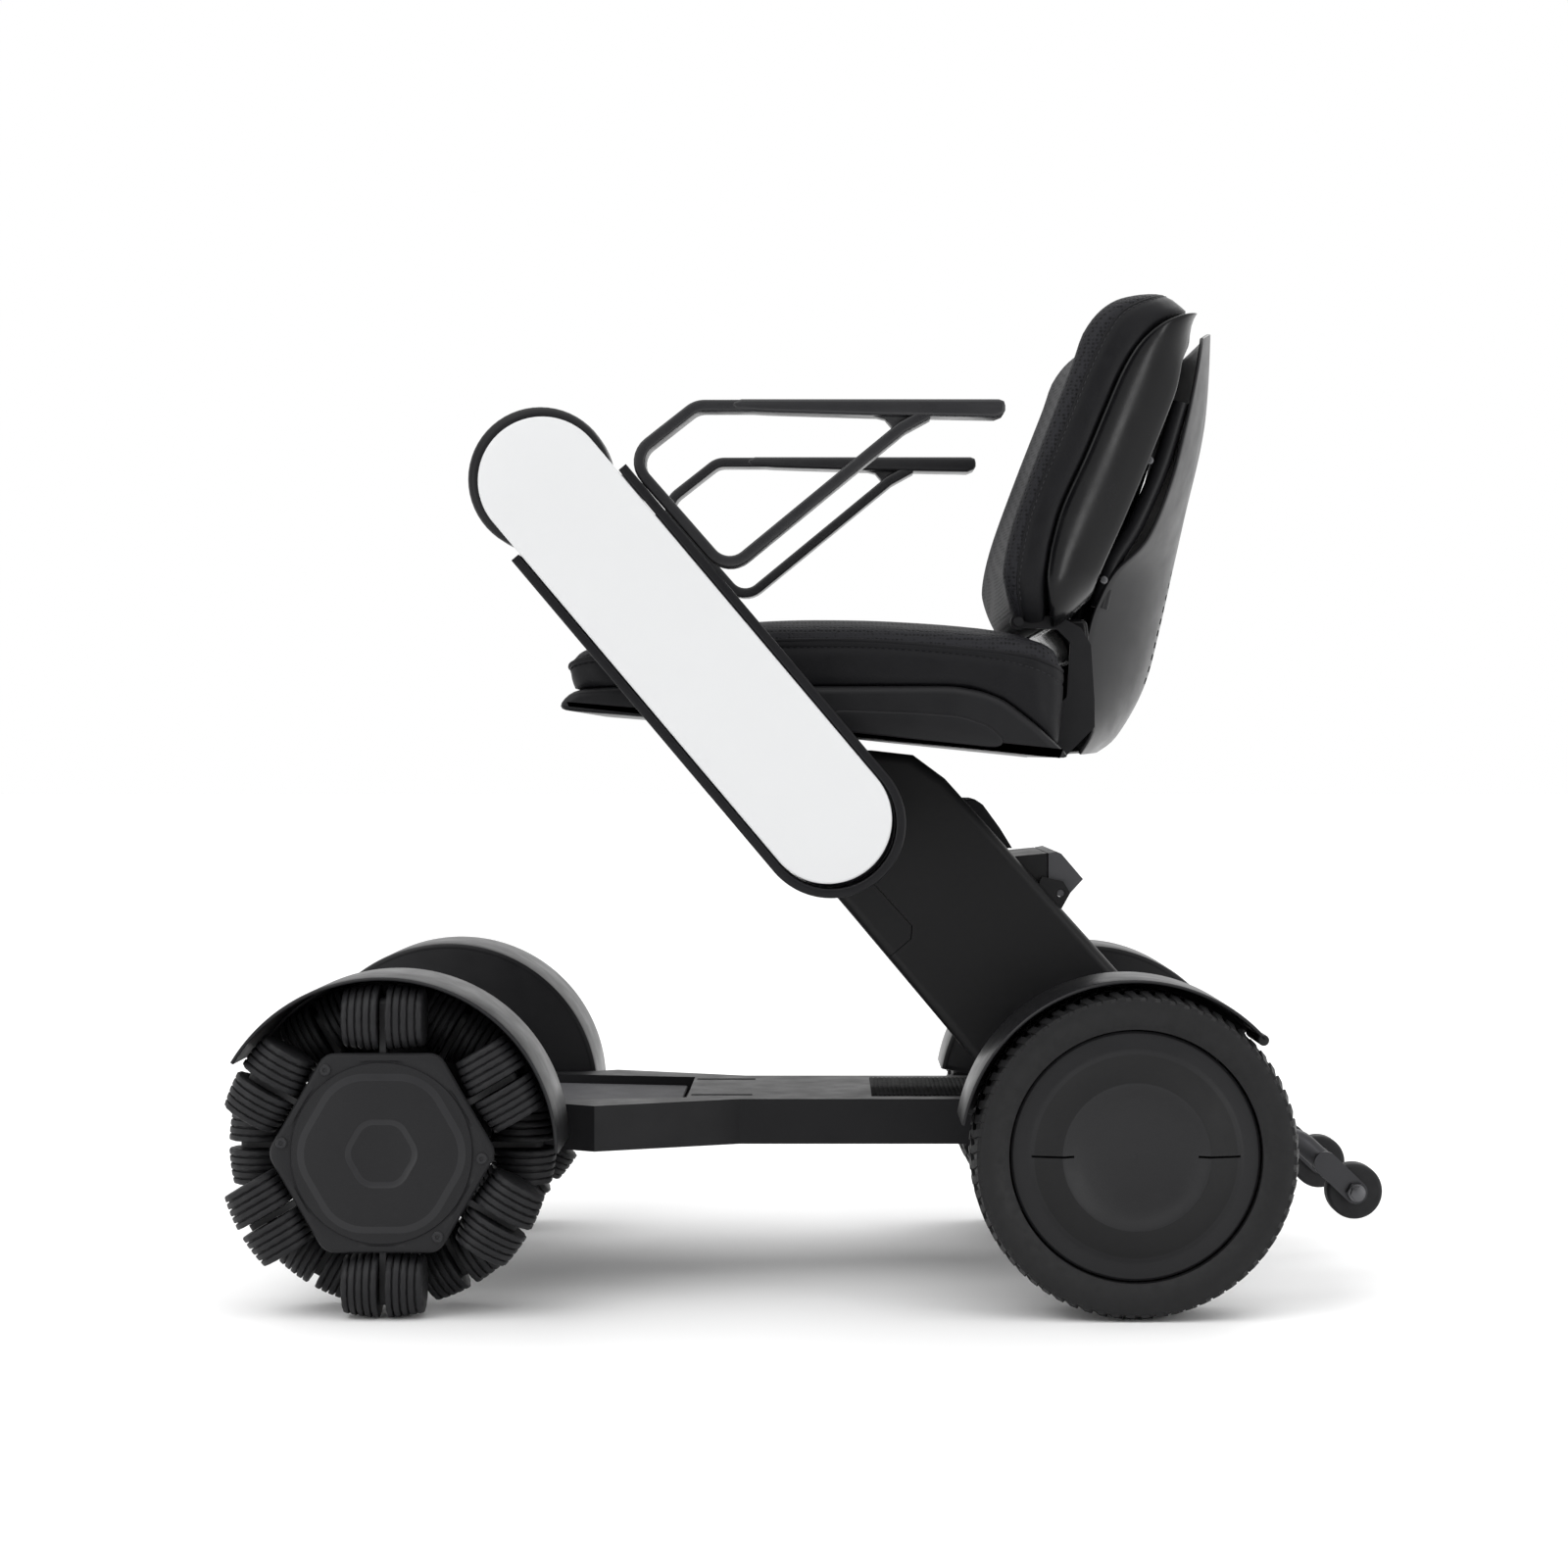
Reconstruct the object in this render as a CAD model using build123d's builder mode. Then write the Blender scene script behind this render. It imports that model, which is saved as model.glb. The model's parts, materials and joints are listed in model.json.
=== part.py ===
from build123d import *
from math import cos, hypot, radians, sin, sqrt
import os

# Four-wheel powered mobility chair, in millimetres.
# +Z is up, the chair faces -Y, and +X is the rider's left.
# The origin is on the floor, below the middle of the chair.
# Side profiles are (Y, Z) points on Plane.YZ, extruded along X.

# ---- driving dimensions ----
HALF_WIDTH = 277                # outer face of the tyres
FRONT_AXLE = (-344, 132.5)      # (Y, Z)
REAR_AXLE = (252, 130)
FRONT_RADIUS = 132.5
REAR_RADIUS = 130
ARM_PIVOT = (11, 393)           # lower end of the side arms
POD_CENTRE = (-217.5, 664)      # upper end of the side arms
BACK_PIVOT = (166, 557)         # fold axis of the backrest
TIP_AXLE = (453, 79)            # small anti-tip rollers
GAP = 0.3                       # clearance between separate bodies

# front wheels: two rows of barrel rollers on tangential pins
ROW_X = (249.5, 202)
SPOKES_PER_ROW = 6
PIN_CIRCLE = 106
PIN_RADIUS = 4
ROLLER_START = 3.5
ROLLER_END = 33
SPOKE_THICK = 5
SPOKE_TIP = 122
SPOKE_WIDTH = 24
HUB_RADIUS = 58
HUB_FACES = (178, 262)
AXLE_RADIUS = 8

# rear wheels
TYRE_FACES = (198, HALF_WIDTH)
RIM_RADIUS = 100
SHAFT_RADIUS = 10
SHAFT_END = 256
MOTOR_RADIUS = 45
MOTOR_FACES = (100, 171)

# platform, drive base and column
DECK_BOTTOM = 118
DECK_TOP = 156
DECK_FRONT = -400
DECK_REAR = 150
DECK_HALF = 95
TREAD_DEPTH = 12
BASE_TOP = 178
BASE_REAR = 330
COLUMN_HALF = 100
BATTERY_Z = (367, 409)
BATTERY_HALF = 80
BATTERY_FRONT = 34

# seat and backrest
PAN_HALF = 205
SEAT_HALF = 200
BACK_HALF = 190
EAR_FACES = (150, 156)          # fixed hinge ear of the backrest
LUG_FACES = (157, 163)          # moving hinge lug beside it
HINGE_RADIUS = 8
HINGE_PIN = 4

# side arms
ARM_FACES = (218, 264)
ARM_RADIUS = 59.3
PANEL_RADIUS = 51.2
PANEL_DEPTH = 5
LOOP_FACES = (224, 256)
STUB_RADIUS = 12

# fenders and anti-tip gear
FENDER_INNER = 136.5
FENDER_OUTER = 139.5
TIP_RADIUS = 23.5
TUBE_RADIUS = 9
TUBE_X = 94

os.makedirs("parts", exist_ok=True)


def save(piece, name):
    piece.label = name
    export_step(piece, f"parts/{name}.step")


def save_pair(piece, name):
    """The left piece as built, and its mirror image on the right."""
    save(piece, f"{name}_left")
    save(mirror(piece, about=Plane.YZ), f"{name}_right")


def save_both(piece, name):
    """One node that holds the left piece and its mirror image."""
    save(Compound(children=[piece, mirror(piece, about=Plane.YZ)]), name)


def polar(centre, radius, angle):
    y = centre[0] + radius * cos(radians(angle))
    z = centre[1] + radius * sin(radians(angle))
    return (y, z)


def side(x):
    """Side-profile plane, x towards the rider's left."""
    return Plane.YZ.offset(x)


def bar(faces, centre, radius, mode=Mode.ADD):
    """Round bar along X between two faces, centred on a (Y, Z) point."""
    with BuildSketch(side(faces[0])) as profile:
        with Locations(centre):
            Circle(radius)
    extrude(profile.sketch, amount=faces[1] - faces[0], mode=mode)


def slab(faces, outline, mode=Mode.ADD):
    """Side profile of straight edges, extruded along X between two faces."""
    with BuildSketch(side(faces[0])) as profile:
        with BuildLine():
            Polyline(outline, close=True)
        make_face()
    extrude(profile.sketch, amount=faces[1] - faces[0], mode=mode)


def plan(z, height, outline, mode=Mode.ADD):
    """Outline seen from above, extruded up from z."""
    with BuildSketch(Plane.XY.offset(z)) as profile:
        with BuildLine():
            Polyline(outline, close=True)
        make_face()
    extrude(profile.sketch, amount=height, mode=mode)


def trapezoid(half_rear, y_rear, half_mid, y_mid, y_front):
    """Symmetric outline that widens to y_mid and then runs straight to the front."""
    return [
        (half_rear, y_rear), (half_mid, y_mid), (half_mid, y_front),
        (-half_mid, y_front), (-half_mid, y_mid), (-half_rear, y_rear),
    ]


# ---- platform: flat deck that flares out in front, with a recessed tread area ----
TREAD_FLOOR = DECK_TOP - TREAD_DEPTH
deck_left = [(DECK_HALF, DECK_REAR), (DECK_HALF, -66), (147, -185), (128, -217), (128, DECK_FRONT)]
deck_right = [(-x, y) for x, y in reversed(deck_left)]

with BuildPart() as platform:
    plan(DECK_BOTTOM, DECK_TOP - DECK_BOTTOM, deck_left + deck_right)
    fillet(platform.edges().filter_by(Axis.Z).group_by(Axis.Y)[0], 30)
    plan(TREAD_FLOOR, TREAD_DEPTH, trapezoid(82, -111, 107, -245, DECK_FRONT - 5), Mode.SUBTRACT)
    with BuildSketch(Plane.XY.offset(DECK_TOP - 2)):
        with Locations((-63, -83), (63, -83)):
            SlotOverall(52, 3, rotation=90)
    extrude(amount=2, mode=Mode.SUBTRACT)
    bar((-150, 150), FRONT_AXLE, AXLE_RADIUS + GAP, Mode.SUBTRACT)
save(platform.part, "platform")

with BuildPart() as foot_plate:
    plan(TREAD_FLOOR, 5, trapezoid(76, -117, 101, -247, DECK_FRONT + 32))
    fillet(foot_plate.edges().filter_by(Axis.Z), 5)
    chamfer(foot_plate.faces().sort_by(Axis.Z)[-1].edges(), 1)
save(foot_plate.part, "foot_plate")

# ---- drive base behind the platform, between the rear wheels ----
with BuildPart() as drive_base:
    slab((-COLUMN_HALF, COLUMN_HALF), [
        (DECK_REAR, 100), (BASE_REAR - 25, 92), (BASE_REAR, 108), (BASE_REAR, 150),
        (BASE_REAR - 12, BASE_TOP), (DECK_REAR, BASE_TOP)])
save(drive_base.part, "drive_base")

with BuildPart() as gear_motor:
    bar(MOTOR_FACES, REAR_AXLE, MOTOR_RADIUS)
    chamfer(gear_motor.faces().sort_by(Axis.X)[-1].edges(), 4)
    bar((MOTOR_FACES[1], SHAFT_END), REAR_AXLE, SHAFT_RADIUS)
save_both(gear_motor.part, "gear_motors")

# ---- leaning column between the drive base and the seat ----
column_outline = [
    (141, BASE_TOP), (29.5, 310.8), (-12, 360), (-8, 430), (12, 451),
    (45.8, 451), (80.8, 447), (107.8, 427), (253, 265.2), (329, BASE_TOP),
]
cover_line = [(56, 272), (79.2, 291.7), (80.1, 302.5), (50.3, 335.6), (-3, 376), (-3, 460)]
LEVER_PIVOT = (206, 330)

with BuildPart() as column_body:
    slab((-COLUMN_HALF, COLUMN_HALF), column_outline)
    side_faces = column_body.faces().filter_by(Axis.X)
    fillet(side_faces.edges().filter_by(Axis.Z, reverse=True), 9)

with BuildPart() as column_shell:
    add(column_body.part)
    slab((-COLUMN_HALF, COLUMN_HALF), [(40, 254)] + cover_line + [(-60, 460), (-60, 350)], Mode.SUBTRACT)
    slab((-84, 84), [(150, 358), (169, 361), (195, 363.5), (195, 315), (150, 340)])
    slab((-92, 92), [(190, 344), (208, 340), (214, 330), (200, 305), (180, 320)])
    slab((-85.5, 85.5), [(195, 380), (195, 329.2), (206, 316.8), (230, 316.8), (230, 380)], Mode.SUBTRACT)
    bar((-COLUMN_HALF, COLUMN_HALF), LEVER_PIVOT, 3 + GAP, Mode.SUBTRACT)
    slab((-BATTERY_HALF - 0.5, BATTERY_HALF + 0.5), [
        (BATTERY_FRONT - 0.5, BATTERY_Z[0] - 0.5), (190, BATTERY_Z[0] - 0.5),
        (190, BATTERY_Z[1] + 0.5), (BATTERY_FRONT - 0.5, BATTERY_Z[1] + 0.5)], Mode.SUBTRACT)
    bar((-COLUMN_HALF, COLUMN_HALF), ARM_PIVOT, STUB_RADIUS + GAP, Mode.SUBTRACT)
save(column_shell.part, "column_shell")

with BuildPart() as column_cover:
    add(column_body.part)
    slab((-COLUMN_HALF, COLUMN_HALF), [(39, 254)] + [(y - 0.7, z + 0.1) for y, z in cover_line]
         + [(-60, 460), (-60, 350)], Mode.INTERSECT)
save(column_cover.part, "column_cover")

# ---- battery that slides out to the rear, with a soft grip on its end ----
with BuildPart() as battery:
    slab((-BATTERY_HALF, BATTERY_HALF), [
        (BATTERY_FRONT, BATTERY_Z[0]), (162.5, BATTERY_Z[0]), (125.6, BATTERY_Z[1]),
        (BATTERY_FRONT, BATTERY_Z[1])])
    slab((-60, 60), [
        (150, BATTERY_Z[0]), (167, BATTERY_Z[0]), (156.4, 384.3), (141.7, 404.5),
        (135, BATTERY_Z[1]), (120, BATTERY_Z[1])])
save(battery.part, "battery")

# ---- sprung release lever below the battery ----
with BuildPart() as release_lever:
    slab((-85, 85), [
        (196, 363.6), (203, 364.9), (207, 363.2), (225.4, 341.6), (212, 327), (200, 334), (196, 340)])
    bar((-91, 91), LEVER_PIVOT, 3)
save(release_lever.part, "release_lever")

# ---- seat pan and cushion ----
pan_shoulder = [(108, 502.6), (142, 497), (177, 472.5), (206.7, 444)]
pan_base = [(206.7, 444), (90, 456), (-143, 478), (-210.8, 483.6), (-198, 500), (-160, 502.6), (108, 502.6)]
seat_underside = [(108, 503), (142.2, 497.4), (177.3, 472.9), (198.5, 453)]
seat_crown = [(-188.7, 533.9), (-42.8, 553.3), (28, 554.2), (143.3, 547), (194.7, 534.8)]
seat_front = [(108, 503), (-197, 503), (-201.7, 516.5), (-188.7, 533.9)]
seat_rear = [(194.7, 534.8), (203.6, 521), (198.5, 453)]

with BuildPart() as seat_pan:
    with BuildSketch(Plane.XY.offset(430)):
        with Locations((0, -2)):
            RectangleRounded(2 * PAN_HALF, 417.4, 30)
    extrude(amount=100)
    with BuildSketch(side(-PAN_HALF)):
        with BuildLine():
            Spline(pan_shoulder)
            Polyline(pan_base)
        make_face()
    extrude(amount=2 * PAN_HALF, mode=Mode.INTERSECT)
    slab((-90, 90), [(12, 451), (45.8, 451), (60, 455), (60, 475), (0, 475), (0, 455)])
save(seat_pan.part, "seat_pan")

with BuildPart() as seat_cushion:
    with BuildSketch(Plane.XY.offset(450)):
        with Locations((0, 1)):
            RectangleRounded(2 * SEAT_HALF, 405.4, 28)
    extrude(amount=110)
    with BuildSketch(side(-SEAT_HALF)):
        with BuildLine():
            Polyline(seat_front)
            Spline(seat_crown)
            Polyline(seat_rear)
            Spline(seat_underside)
        make_face()
    extrude(amount=2 * SEAT_HALF, mode=Mode.INTERSECT)
    for x0 in (EAR_FACES[0] - 2, -EAR_FACES[1] - 2):
        slab((x0, x0 + 10), [(174, 445), (212, 445), (212, 499), (204, 499), (174, 466)], Mode.SUBTRACT)
save(seat_cushion.part, "seat_cushion")

# ---- backrest: shell, cushion, rear panel and its two hinge brackets ----
shell_front = [
    (296.4, 808.9), (262, 784.8), (234.5, 732.9), (198.6, 651.6), (186, 590), (191.4, 549.5)]
shell_rear = [(191.4, 549.5), (217, 549.5), (232.1, 589.9), (293, 752), (311, 811.9), (296.4, 808.9)]
cushion_rear = [(y - 1, z) for y, z in shell_front]
cushion_face = [(168.2, 549.5), (153, 600), (161.4, 642.4), (207.5, 764.5), (243, 813), (283.4, 826.3)]
EAR_SLOT = (EAR_FACES[0] - 2, LUG_FACES[1] + 2)
ear_notch = [(156, 540), (220, 540), (220, 566), (156, 566)]


def back_front_view(top):
    """Keeps what lies inside the rounded outline of the backrest seen from the front."""
    with BuildSketch(Plane.XZ) as outline:
        with Locations((0, (540 + top) / 2)):
            RectangleRounded(2 * BACK_HALF, top - 540, 55)
    extrude(outline.sketch, amount=400, both=True, mode=Mode.INTERSECT)


def notch(faces):
    slab(faces, ear_notch, Mode.SUBTRACT)
    slab((-faces[1], -faces[0]), ear_notch, Mode.SUBTRACT)


with BuildPart() as back_shell:
    with BuildSketch(side(-BACK_HALF)):
        with BuildLine():
            Spline(shell_front)
            Polyline(shell_rear)
        make_face()
    extrude(amount=2 * BACK_HALF)
    back_front_view(812)
    notch(EAR_SLOT)
    for x0 in (LUG_FACES[0], -LUG_FACES[1]):
        lug = (x0, x0 + LUG_FACES[1] - LUG_FACES[0])
        slab(lug, [(166, 549.5), (222, 549.5), (222, 565), (166, 565)])
        bar(lug, BACK_PIVOT, HINGE_RADIUS)
        bar(lug, BACK_PIVOT, HINGE_PIN + GAP, Mode.SUBTRACT)
    for x0 in (-78, 70):
        slab((x0, x0 + 8), [(252, 650), (295, 650), (318, 750), (290, 750)])
save(back_shell.part, "back_shell")

with BuildPart() as back_cushion:
    with BuildSketch(side(-BACK_HALF)):
        with BuildLine():
            Spline(cushion_rear)
            Line(cushion_rear[-1], cushion_face[0])
            Spline(cushion_face)
            Line(cushion_face[-1], cushion_rear[0])
        make_face()
    extrude(amount=2 * BACK_HALF)
    back_front_view(828)
    notch(EAR_SLOT)
save(back_cushion.part, "back_cushion")

# rear panel levels: height, rear-most Y in the middle, Y at the side edges
panel_levels = [
    (812, 340, 322), (730, 335, 309), (660, 320.5, 289), (600, 309, 252),
    (555, 297, 232), (505, 283.5, 225), (458, 256, 232),
]
PANEL_HALF = 130
SHEET = 3

with BuildPart() as back_panel:
    for height, middle, edge in panel_levels:
        with BuildSketch(Plane.XY.offset(height)):
            with BuildLine():
                ThreePointArc((-PANEL_HALF, edge), (0, middle), (PANEL_HALF, edge))
                Line((PANEL_HALF, edge), (PANEL_HALF, edge - SHEET))
                ThreePointArc((PANEL_HALF, edge - SHEET), (0, middle - SHEET), (-PANEL_HALF, edge - SHEET))
                Line((-PANEL_HALF, edge - SHEET), (-PANEL_HALF, edge))
            make_face()
    loft()
save(back_panel.part, "back_panel")

with BuildPart() as hinge_bracket:
    slab(EAR_FACES, [
        (181.4, 468.7), (205.2, 445.9), (229, 470), (229, 492), (226, 538), (218, 552), (200, 562),
        (BACK_PIVOT[0], 562), (BACK_PIVOT[0], 552), (198, 551), (209, 540), (206, 495)])
    bar(EAR_FACES, BACK_PIVOT, HINGE_RADIUS - 1.5)
    bar((EAR_FACES[0], LUG_FACES[1]), BACK_PIVOT, HINGE_PIN)
save_both(hinge_bracket.part, "hinge_brackets")

# ---- side arms with their round pods, white panels and armrest loops ----
arm_length = hypot(POD_CENTRE[0] - ARM_PIVOT[0], POD_CENTRE[1] - ARM_PIVOT[1])
along = ((POD_CENTRE[0] - ARM_PIVOT[0]) / arm_length, (POD_CENTRE[1] - ARM_PIVOT[1]) / arm_length)


def on_rail(distance):
    """Point on the upper rail of the arm, at a distance from its pivot."""
    y = ARM_PIVOT[0] + distance * along[0] + ARM_RADIUS * along[1]
    z = ARM_PIVOT[1] + distance * along[1] - ARM_RADIUS * along[0]
    return (y, z)


def arm_slot(faces, low, high, radius, mode=Mode.ADD):
    """Bar of stadium section along the arm, between two distances from its pivot."""
    ends = [(ARM_PIVOT[0] + d * along[0], ARM_PIVOT[1] + d * along[1]) for d in (low, high)]
    middle = ((ends[0][0] + ends[1][0]) / 2, (ends[0][1] + ends[1][1]) / 2)
    with BuildSketch(side(faces[0])) as profile:
        SlotCenterPoint(middle, ends[1], 2 * radius)
    extrude(profile.sketch, amount=faces[1] - faces[0], mode=mode)


PANEL_START = 4
with BuildPart() as arm_frame:
    arm_slot(ARM_FACES, 0, arm_length, ARM_RADIUS)
    fillet(arm_frame.faces().sort_by(Axis.X)[-1].edges(), 5)
    arm_slot((ARM_FACES[1] - PANEL_DEPTH, ARM_FACES[1]), PANEL_START, arm_length, PANEL_RADIUS + 1,
             Mode.SUBTRACT)
    bar((COLUMN_HALF - 60, ARM_FACES[0]), ARM_PIVOT, STUB_RADIUS)
save(arm_frame.part, "arm_frame_left")

STICK = (-241, -231)            # X, Y of the joystick on the right pod
STICK_PIVOT_Z = 730
BALL_RADIUS = 7
with BuildPart() as arm_frame_right:
    add(mirror(arm_frame.part, about=Plane.YZ))
    with BuildSketch(Plane.XY.offset(690)):
        with Locations(STICK):
            Circle(17)
    extrude(amount=STICK_PIVOT_Z - BALL_RADIUS - 690 - GAP)
save(arm_frame_right.part, "arm_frame_right")

with BuildPart() as arm_panel:
    arm_slot((ARM_FACES[1] - PANEL_DEPTH, ARM_FACES[1] + 4), PANEL_START, arm_length, PANEL_RADIUS)
    fillet(arm_panel.faces().sort_by(Axis.X)[-1].edges(), 3)
save_pair(arm_panel.part, "arm_panel")

REST_TOP = 729.8
REST_BOTTOM = 711.8
REST_REAR = 149.5
LOOP_BAR = 9
low_corner = on_rail(206.4)
high_corner = on_rail(325.6)
with BuildPart() as armrest:
    with BuildSketch(side(LOOP_FACES[0])):
        with BuildLine():
            Polyline([(-94.5, REST_TOP), high_corner, low_corner, (94.4, REST_TOP)], close=True)
        make_face()
        offset(amount=-LOOP_BAR, mode=Mode.SUBTRACT)
        with BuildLine():
            Polyline([(-100, REST_BOTTOM), (-100, REST_TOP - 4), (-94.5, REST_TOP), (REST_REAR, REST_TOP),
                      (REST_REAR, REST_BOTTOM)], close=True)
        make_face()
    extrude(amount=LOOP_FACES[1] - LOOP_FACES[0])
save_pair(armrest.part, "armrest")

# ---- joystick: a ball gimbal on the right pod and the knob it carries ----
with BuildPart() as joystick_gimbal:
    with Locations((*STICK, STICK_PIVOT_Z)):
        Sphere(BALL_RADIUS)
save(joystick_gimbal.part, "joystick_gimbal")

with BuildPart() as joystick_knob:
    with BuildSketch(Plane.XY.offset(STICK_PIVOT_Z + BALL_RADIUS + GAP)):
        with Locations(STICK):
            Circle(4)
    extrude(amount=6)
    with BuildSketch(Plane.XY.offset(STICK_PIVOT_Z + BALL_RADIUS + 4)):
        with Locations(STICK):
            Circle(12.5)
    extrude(amount=12)
    fillet(joystick_knob.faces().sort_by(Axis.Z)[-1].edges(), 5)
save(joystick_knob.part, "joystick_knob")

# ---- front axle, hubs, hub covers and rollers ----
with BuildPart() as front_axle:
    bar((-SHAFT_END, SHAFT_END), FRONT_AXLE, AXLE_RADIUS)
save(front_axle.part, "front_axle")

spokes = []
for row, row_x in enumerate(ROW_X):
    for step in range(SPOKES_PER_ROW):
        spokes.append((row_x, 90 - 60 * step - 30 * row))


def pin_centre(row_x, angle):
    return (row_x, *polar(FRONT_AXLE, PIN_CIRCLE, angle))


def across_pin(row_x, angle):
    """Plane square to a spoke's pin: first coordinate X, second outwards from the axle."""
    tangent = (0, -sin(radians(angle)), cos(radians(angle)))
    return Plane(origin=pin_centre(row_x, angle), x_dir=(1, 0, 0), z_dir=tangent)


def along_pin(row_x, angle):
    """Plane through a spoke's pin: first coordinate along the pin, second outwards."""
    tangent = (0, -sin(radians(angle)), cos(radians(angle)))
    return Plane(origin=pin_centre(row_x, angle), x_dir=tangent, z_dir=(-1, 0, 0))


def barrel(t):
    """Roller radius at a distance t along its pin, so that the wheel's rim is round."""
    return sqrt(FRONT_RADIUS ** 2 - t ** 2) - PIN_CIRCLE


PIN_HALF = ROLLER_END - 2
with BuildPart() as front_hub:
    bar(HUB_FACES, FRONT_AXLE, HUB_RADIUS)
    for row_x, angle in spokes:
        plane = across_pin(row_x, angle)
        with BuildSketch(plane.offset(-SPOKE_THICK / 2)):
            with Locations((0, (SPOKE_TIP + 50) / 2 - PIN_CIRCLE)):
                RectangleRounded(SPOKE_WIDTH, SPOKE_TIP - 50, 6)
        extrude(amount=SPOKE_THICK)
        with BuildSketch(plane.offset(-PIN_HALF)):
            Circle(PIN_RADIUS)
        extrude(amount=2 * PIN_HALF)
    bar((HUB_FACES[0], SHAFT_END + 1), FRONT_AXLE, AXLE_RADIUS + GAP, Mode.SUBTRACT)
save_pair(front_hub.part, "front_hub")

with BuildPart() as hub_cover:
    with BuildSketch(side(HUB_FACES[1])) as cover_outline:
        with Locations(FRONT_AXLE):
            RegularPolygon(radius=91, side_count=6)
        fillet(cover_outline.vertices(), 14)
    extrude(amount=8)
save_pair(hub_cover.part, "front_hub_cover")

for number, (row_x, angle) in enumerate(spokes, start=1):
    plane = along_pin(row_x, angle)
    with BuildPart() as roller:
        for sign in (-1, 1):
            t0 = sign * ROLLER_START
            t1 = sign * ROLLER_END
            tm = (t0 + t1) / 2
            bore = PIN_RADIUS + GAP
            with BuildSketch(plane):
                with BuildLine():
                    Line((t0, bore), (t0, barrel(t0)))
                    ThreePointArc((t0, barrel(t0)), (tm, barrel(tm)), (t1, barrel(t1)))
                    Polyline([(t1, barrel(t1)), (t1, bore), (t0, bore)])
                make_face()
        revolve(axis=Axis(plane.origin, plane.x_dir))
    save(roller.part, f"roller_left_{number:02d}")
    save(mirror(roller.part, about=Plane.YZ), f"roller_right_{number:02d}")

# ---- rear wheels and tyres ----
rear_section = Plane(origin=(0, *REAR_AXLE), x_dir=(1, 0, 0), z_dir=(0, -1, 0))
rear_spin = Axis((0, *REAR_AXLE), (1, 0, 0))

with BuildPart() as rear_wheel:
    with BuildSketch(rear_section):
        with BuildLine():
            Polyline([
                (180, SHAFT_RADIUS + GAP), (180, 26), (222, 34), (230, 90), (204, 92), (204, RIM_RADIUS),
                (264, RIM_RADIUS), (266, 82.5), (271.5, 57), (266, 48), (264, 0), (SHAFT_END + 1, 0),
                (SHAFT_END + 1, SHAFT_RADIUS + GAP)], close=True)
        make_face()
    revolve(axis=rear_spin)
save_pair(rear_wheel.part, "rear_wheel")

with BuildPart() as rear_tyre:
    with BuildSketch(rear_section):
        with BuildLine():
            Polyline([
                (201, RIM_RADIUS), (TYRE_FACES[0], 112), (203, 126), (212, REAR_RADIUS),
                (263, REAR_RADIUS), (272, 126), (TYRE_FACES[1], 112), (274, RIM_RADIUS)], close=True)
        make_face()
    revolve(axis=rear_spin)
save_pair(rear_tyre.part, "rear_tyre")


# ---- fenders: a curved sheet over each wheel, carried by a flat inner wall ----
def sector(faces, centre, radii, angles):
    """Ring sector in side view, extruded along X."""
    sweep_angle = angles[1] - angles[0]
    with BuildSketch(side(faces[0])) as profile:
        with BuildLine():
            for radius in radii:
                CenterArc(centre, radius, angles[0], sweep_angle)
            for angle in angles:
                Line(polar(centre, radii[0], angle), polar(centre, radii[1], angle))
        make_face()
    extrude(profile.sketch, amount=faces[1] - faces[0])


with BuildPart() as front_fender:
    sector((162, 270), FRONT_AXLE, (FENDER_INNER, FENDER_OUTER), (0, 149))
    sector((162, 165), FRONT_AXLE, (18, FENDER_INNER + 1), (0, 149))
    bar((128, 165), FRONT_AXLE, 22)
    bar((128, 165), FRONT_AXLE, AXLE_RADIUS + GAP, Mode.SUBTRACT)
save_both(front_fender.part, "front_fenders")

with BuildPart() as rear_fender:
    sector((MOTOR_FACES[1], 265), REAR_AXLE, (FENDER_INNER, FENDER_OUTER), (42, 170))
    sector((MOTOR_FACES[1], MOTOR_FACES[1] + 3), REAR_AXLE, (14, FENDER_INNER + 1), (42, 170))
save_both(rear_fender.part, "rear_fenders")

# ---- anti-tip tubes, forks and rollers ----
TIP_HALF = 10
FORK = 3.5
with BuildPart() as anti_tip_bar:
    with BuildLine(side(TUBE_X)):
        FilletPolyline([(BASE_REAR, 123), (406, 123), (430, 101)], radius=24)
    with BuildSketch(Plane(origin=(TUBE_X, BASE_REAR, 123), z_dir=(0, 1, 0))):
        Circle(TUBE_RADIUS)
    sweep()
    bar((TUBE_X - TIP_HALF - 4, TUBE_X + TIP_HALF + 4), (428, 103), 7)
    for x0 in (TUBE_X - TIP_HALF - 4, TUBE_X + TIP_HALF + 0.5):
        with BuildSketch(side(x0)):
            SlotCenterPoint(((428 + TIP_AXLE[0]) / 2, (103 + TIP_AXLE[1]) / 2), TIP_AXLE, 20)
        extrude(amount=FORK)
    bar((TUBE_X - TIP_HALF - 2, TUBE_X + TIP_HALF + 2), TIP_AXLE, 4)
    with BuildSketch(side(TUBE_X + TIP_HALF + 4)):
        with Locations(TIP_AXLE):
            RegularPolygon(radius=8.6, side_count=6)
    extrude(amount=5)
save_both(anti_tip_bar.part, "anti_tip_bars")

with BuildPart() as anti_tip_roller:
    bar((TUBE_X - TIP_HALF, TUBE_X + TIP_HALF), TIP_AXLE, TIP_RADIUS)
    chamfer(anti_tip_roller.faces().filter_by(Axis.X).edges(), 2)
    bar((TUBE_X - TIP_HALF, TUBE_X + TIP_HALF), TIP_AXLE, 4 + GAP, Mode.SUBTRACT)
save_pair(anti_tip_roller.part, "anti_tip_roller")
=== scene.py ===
import bisect
import json
import math
import bmesh
import bpy
from mathutils import Matrix, Vector


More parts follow.
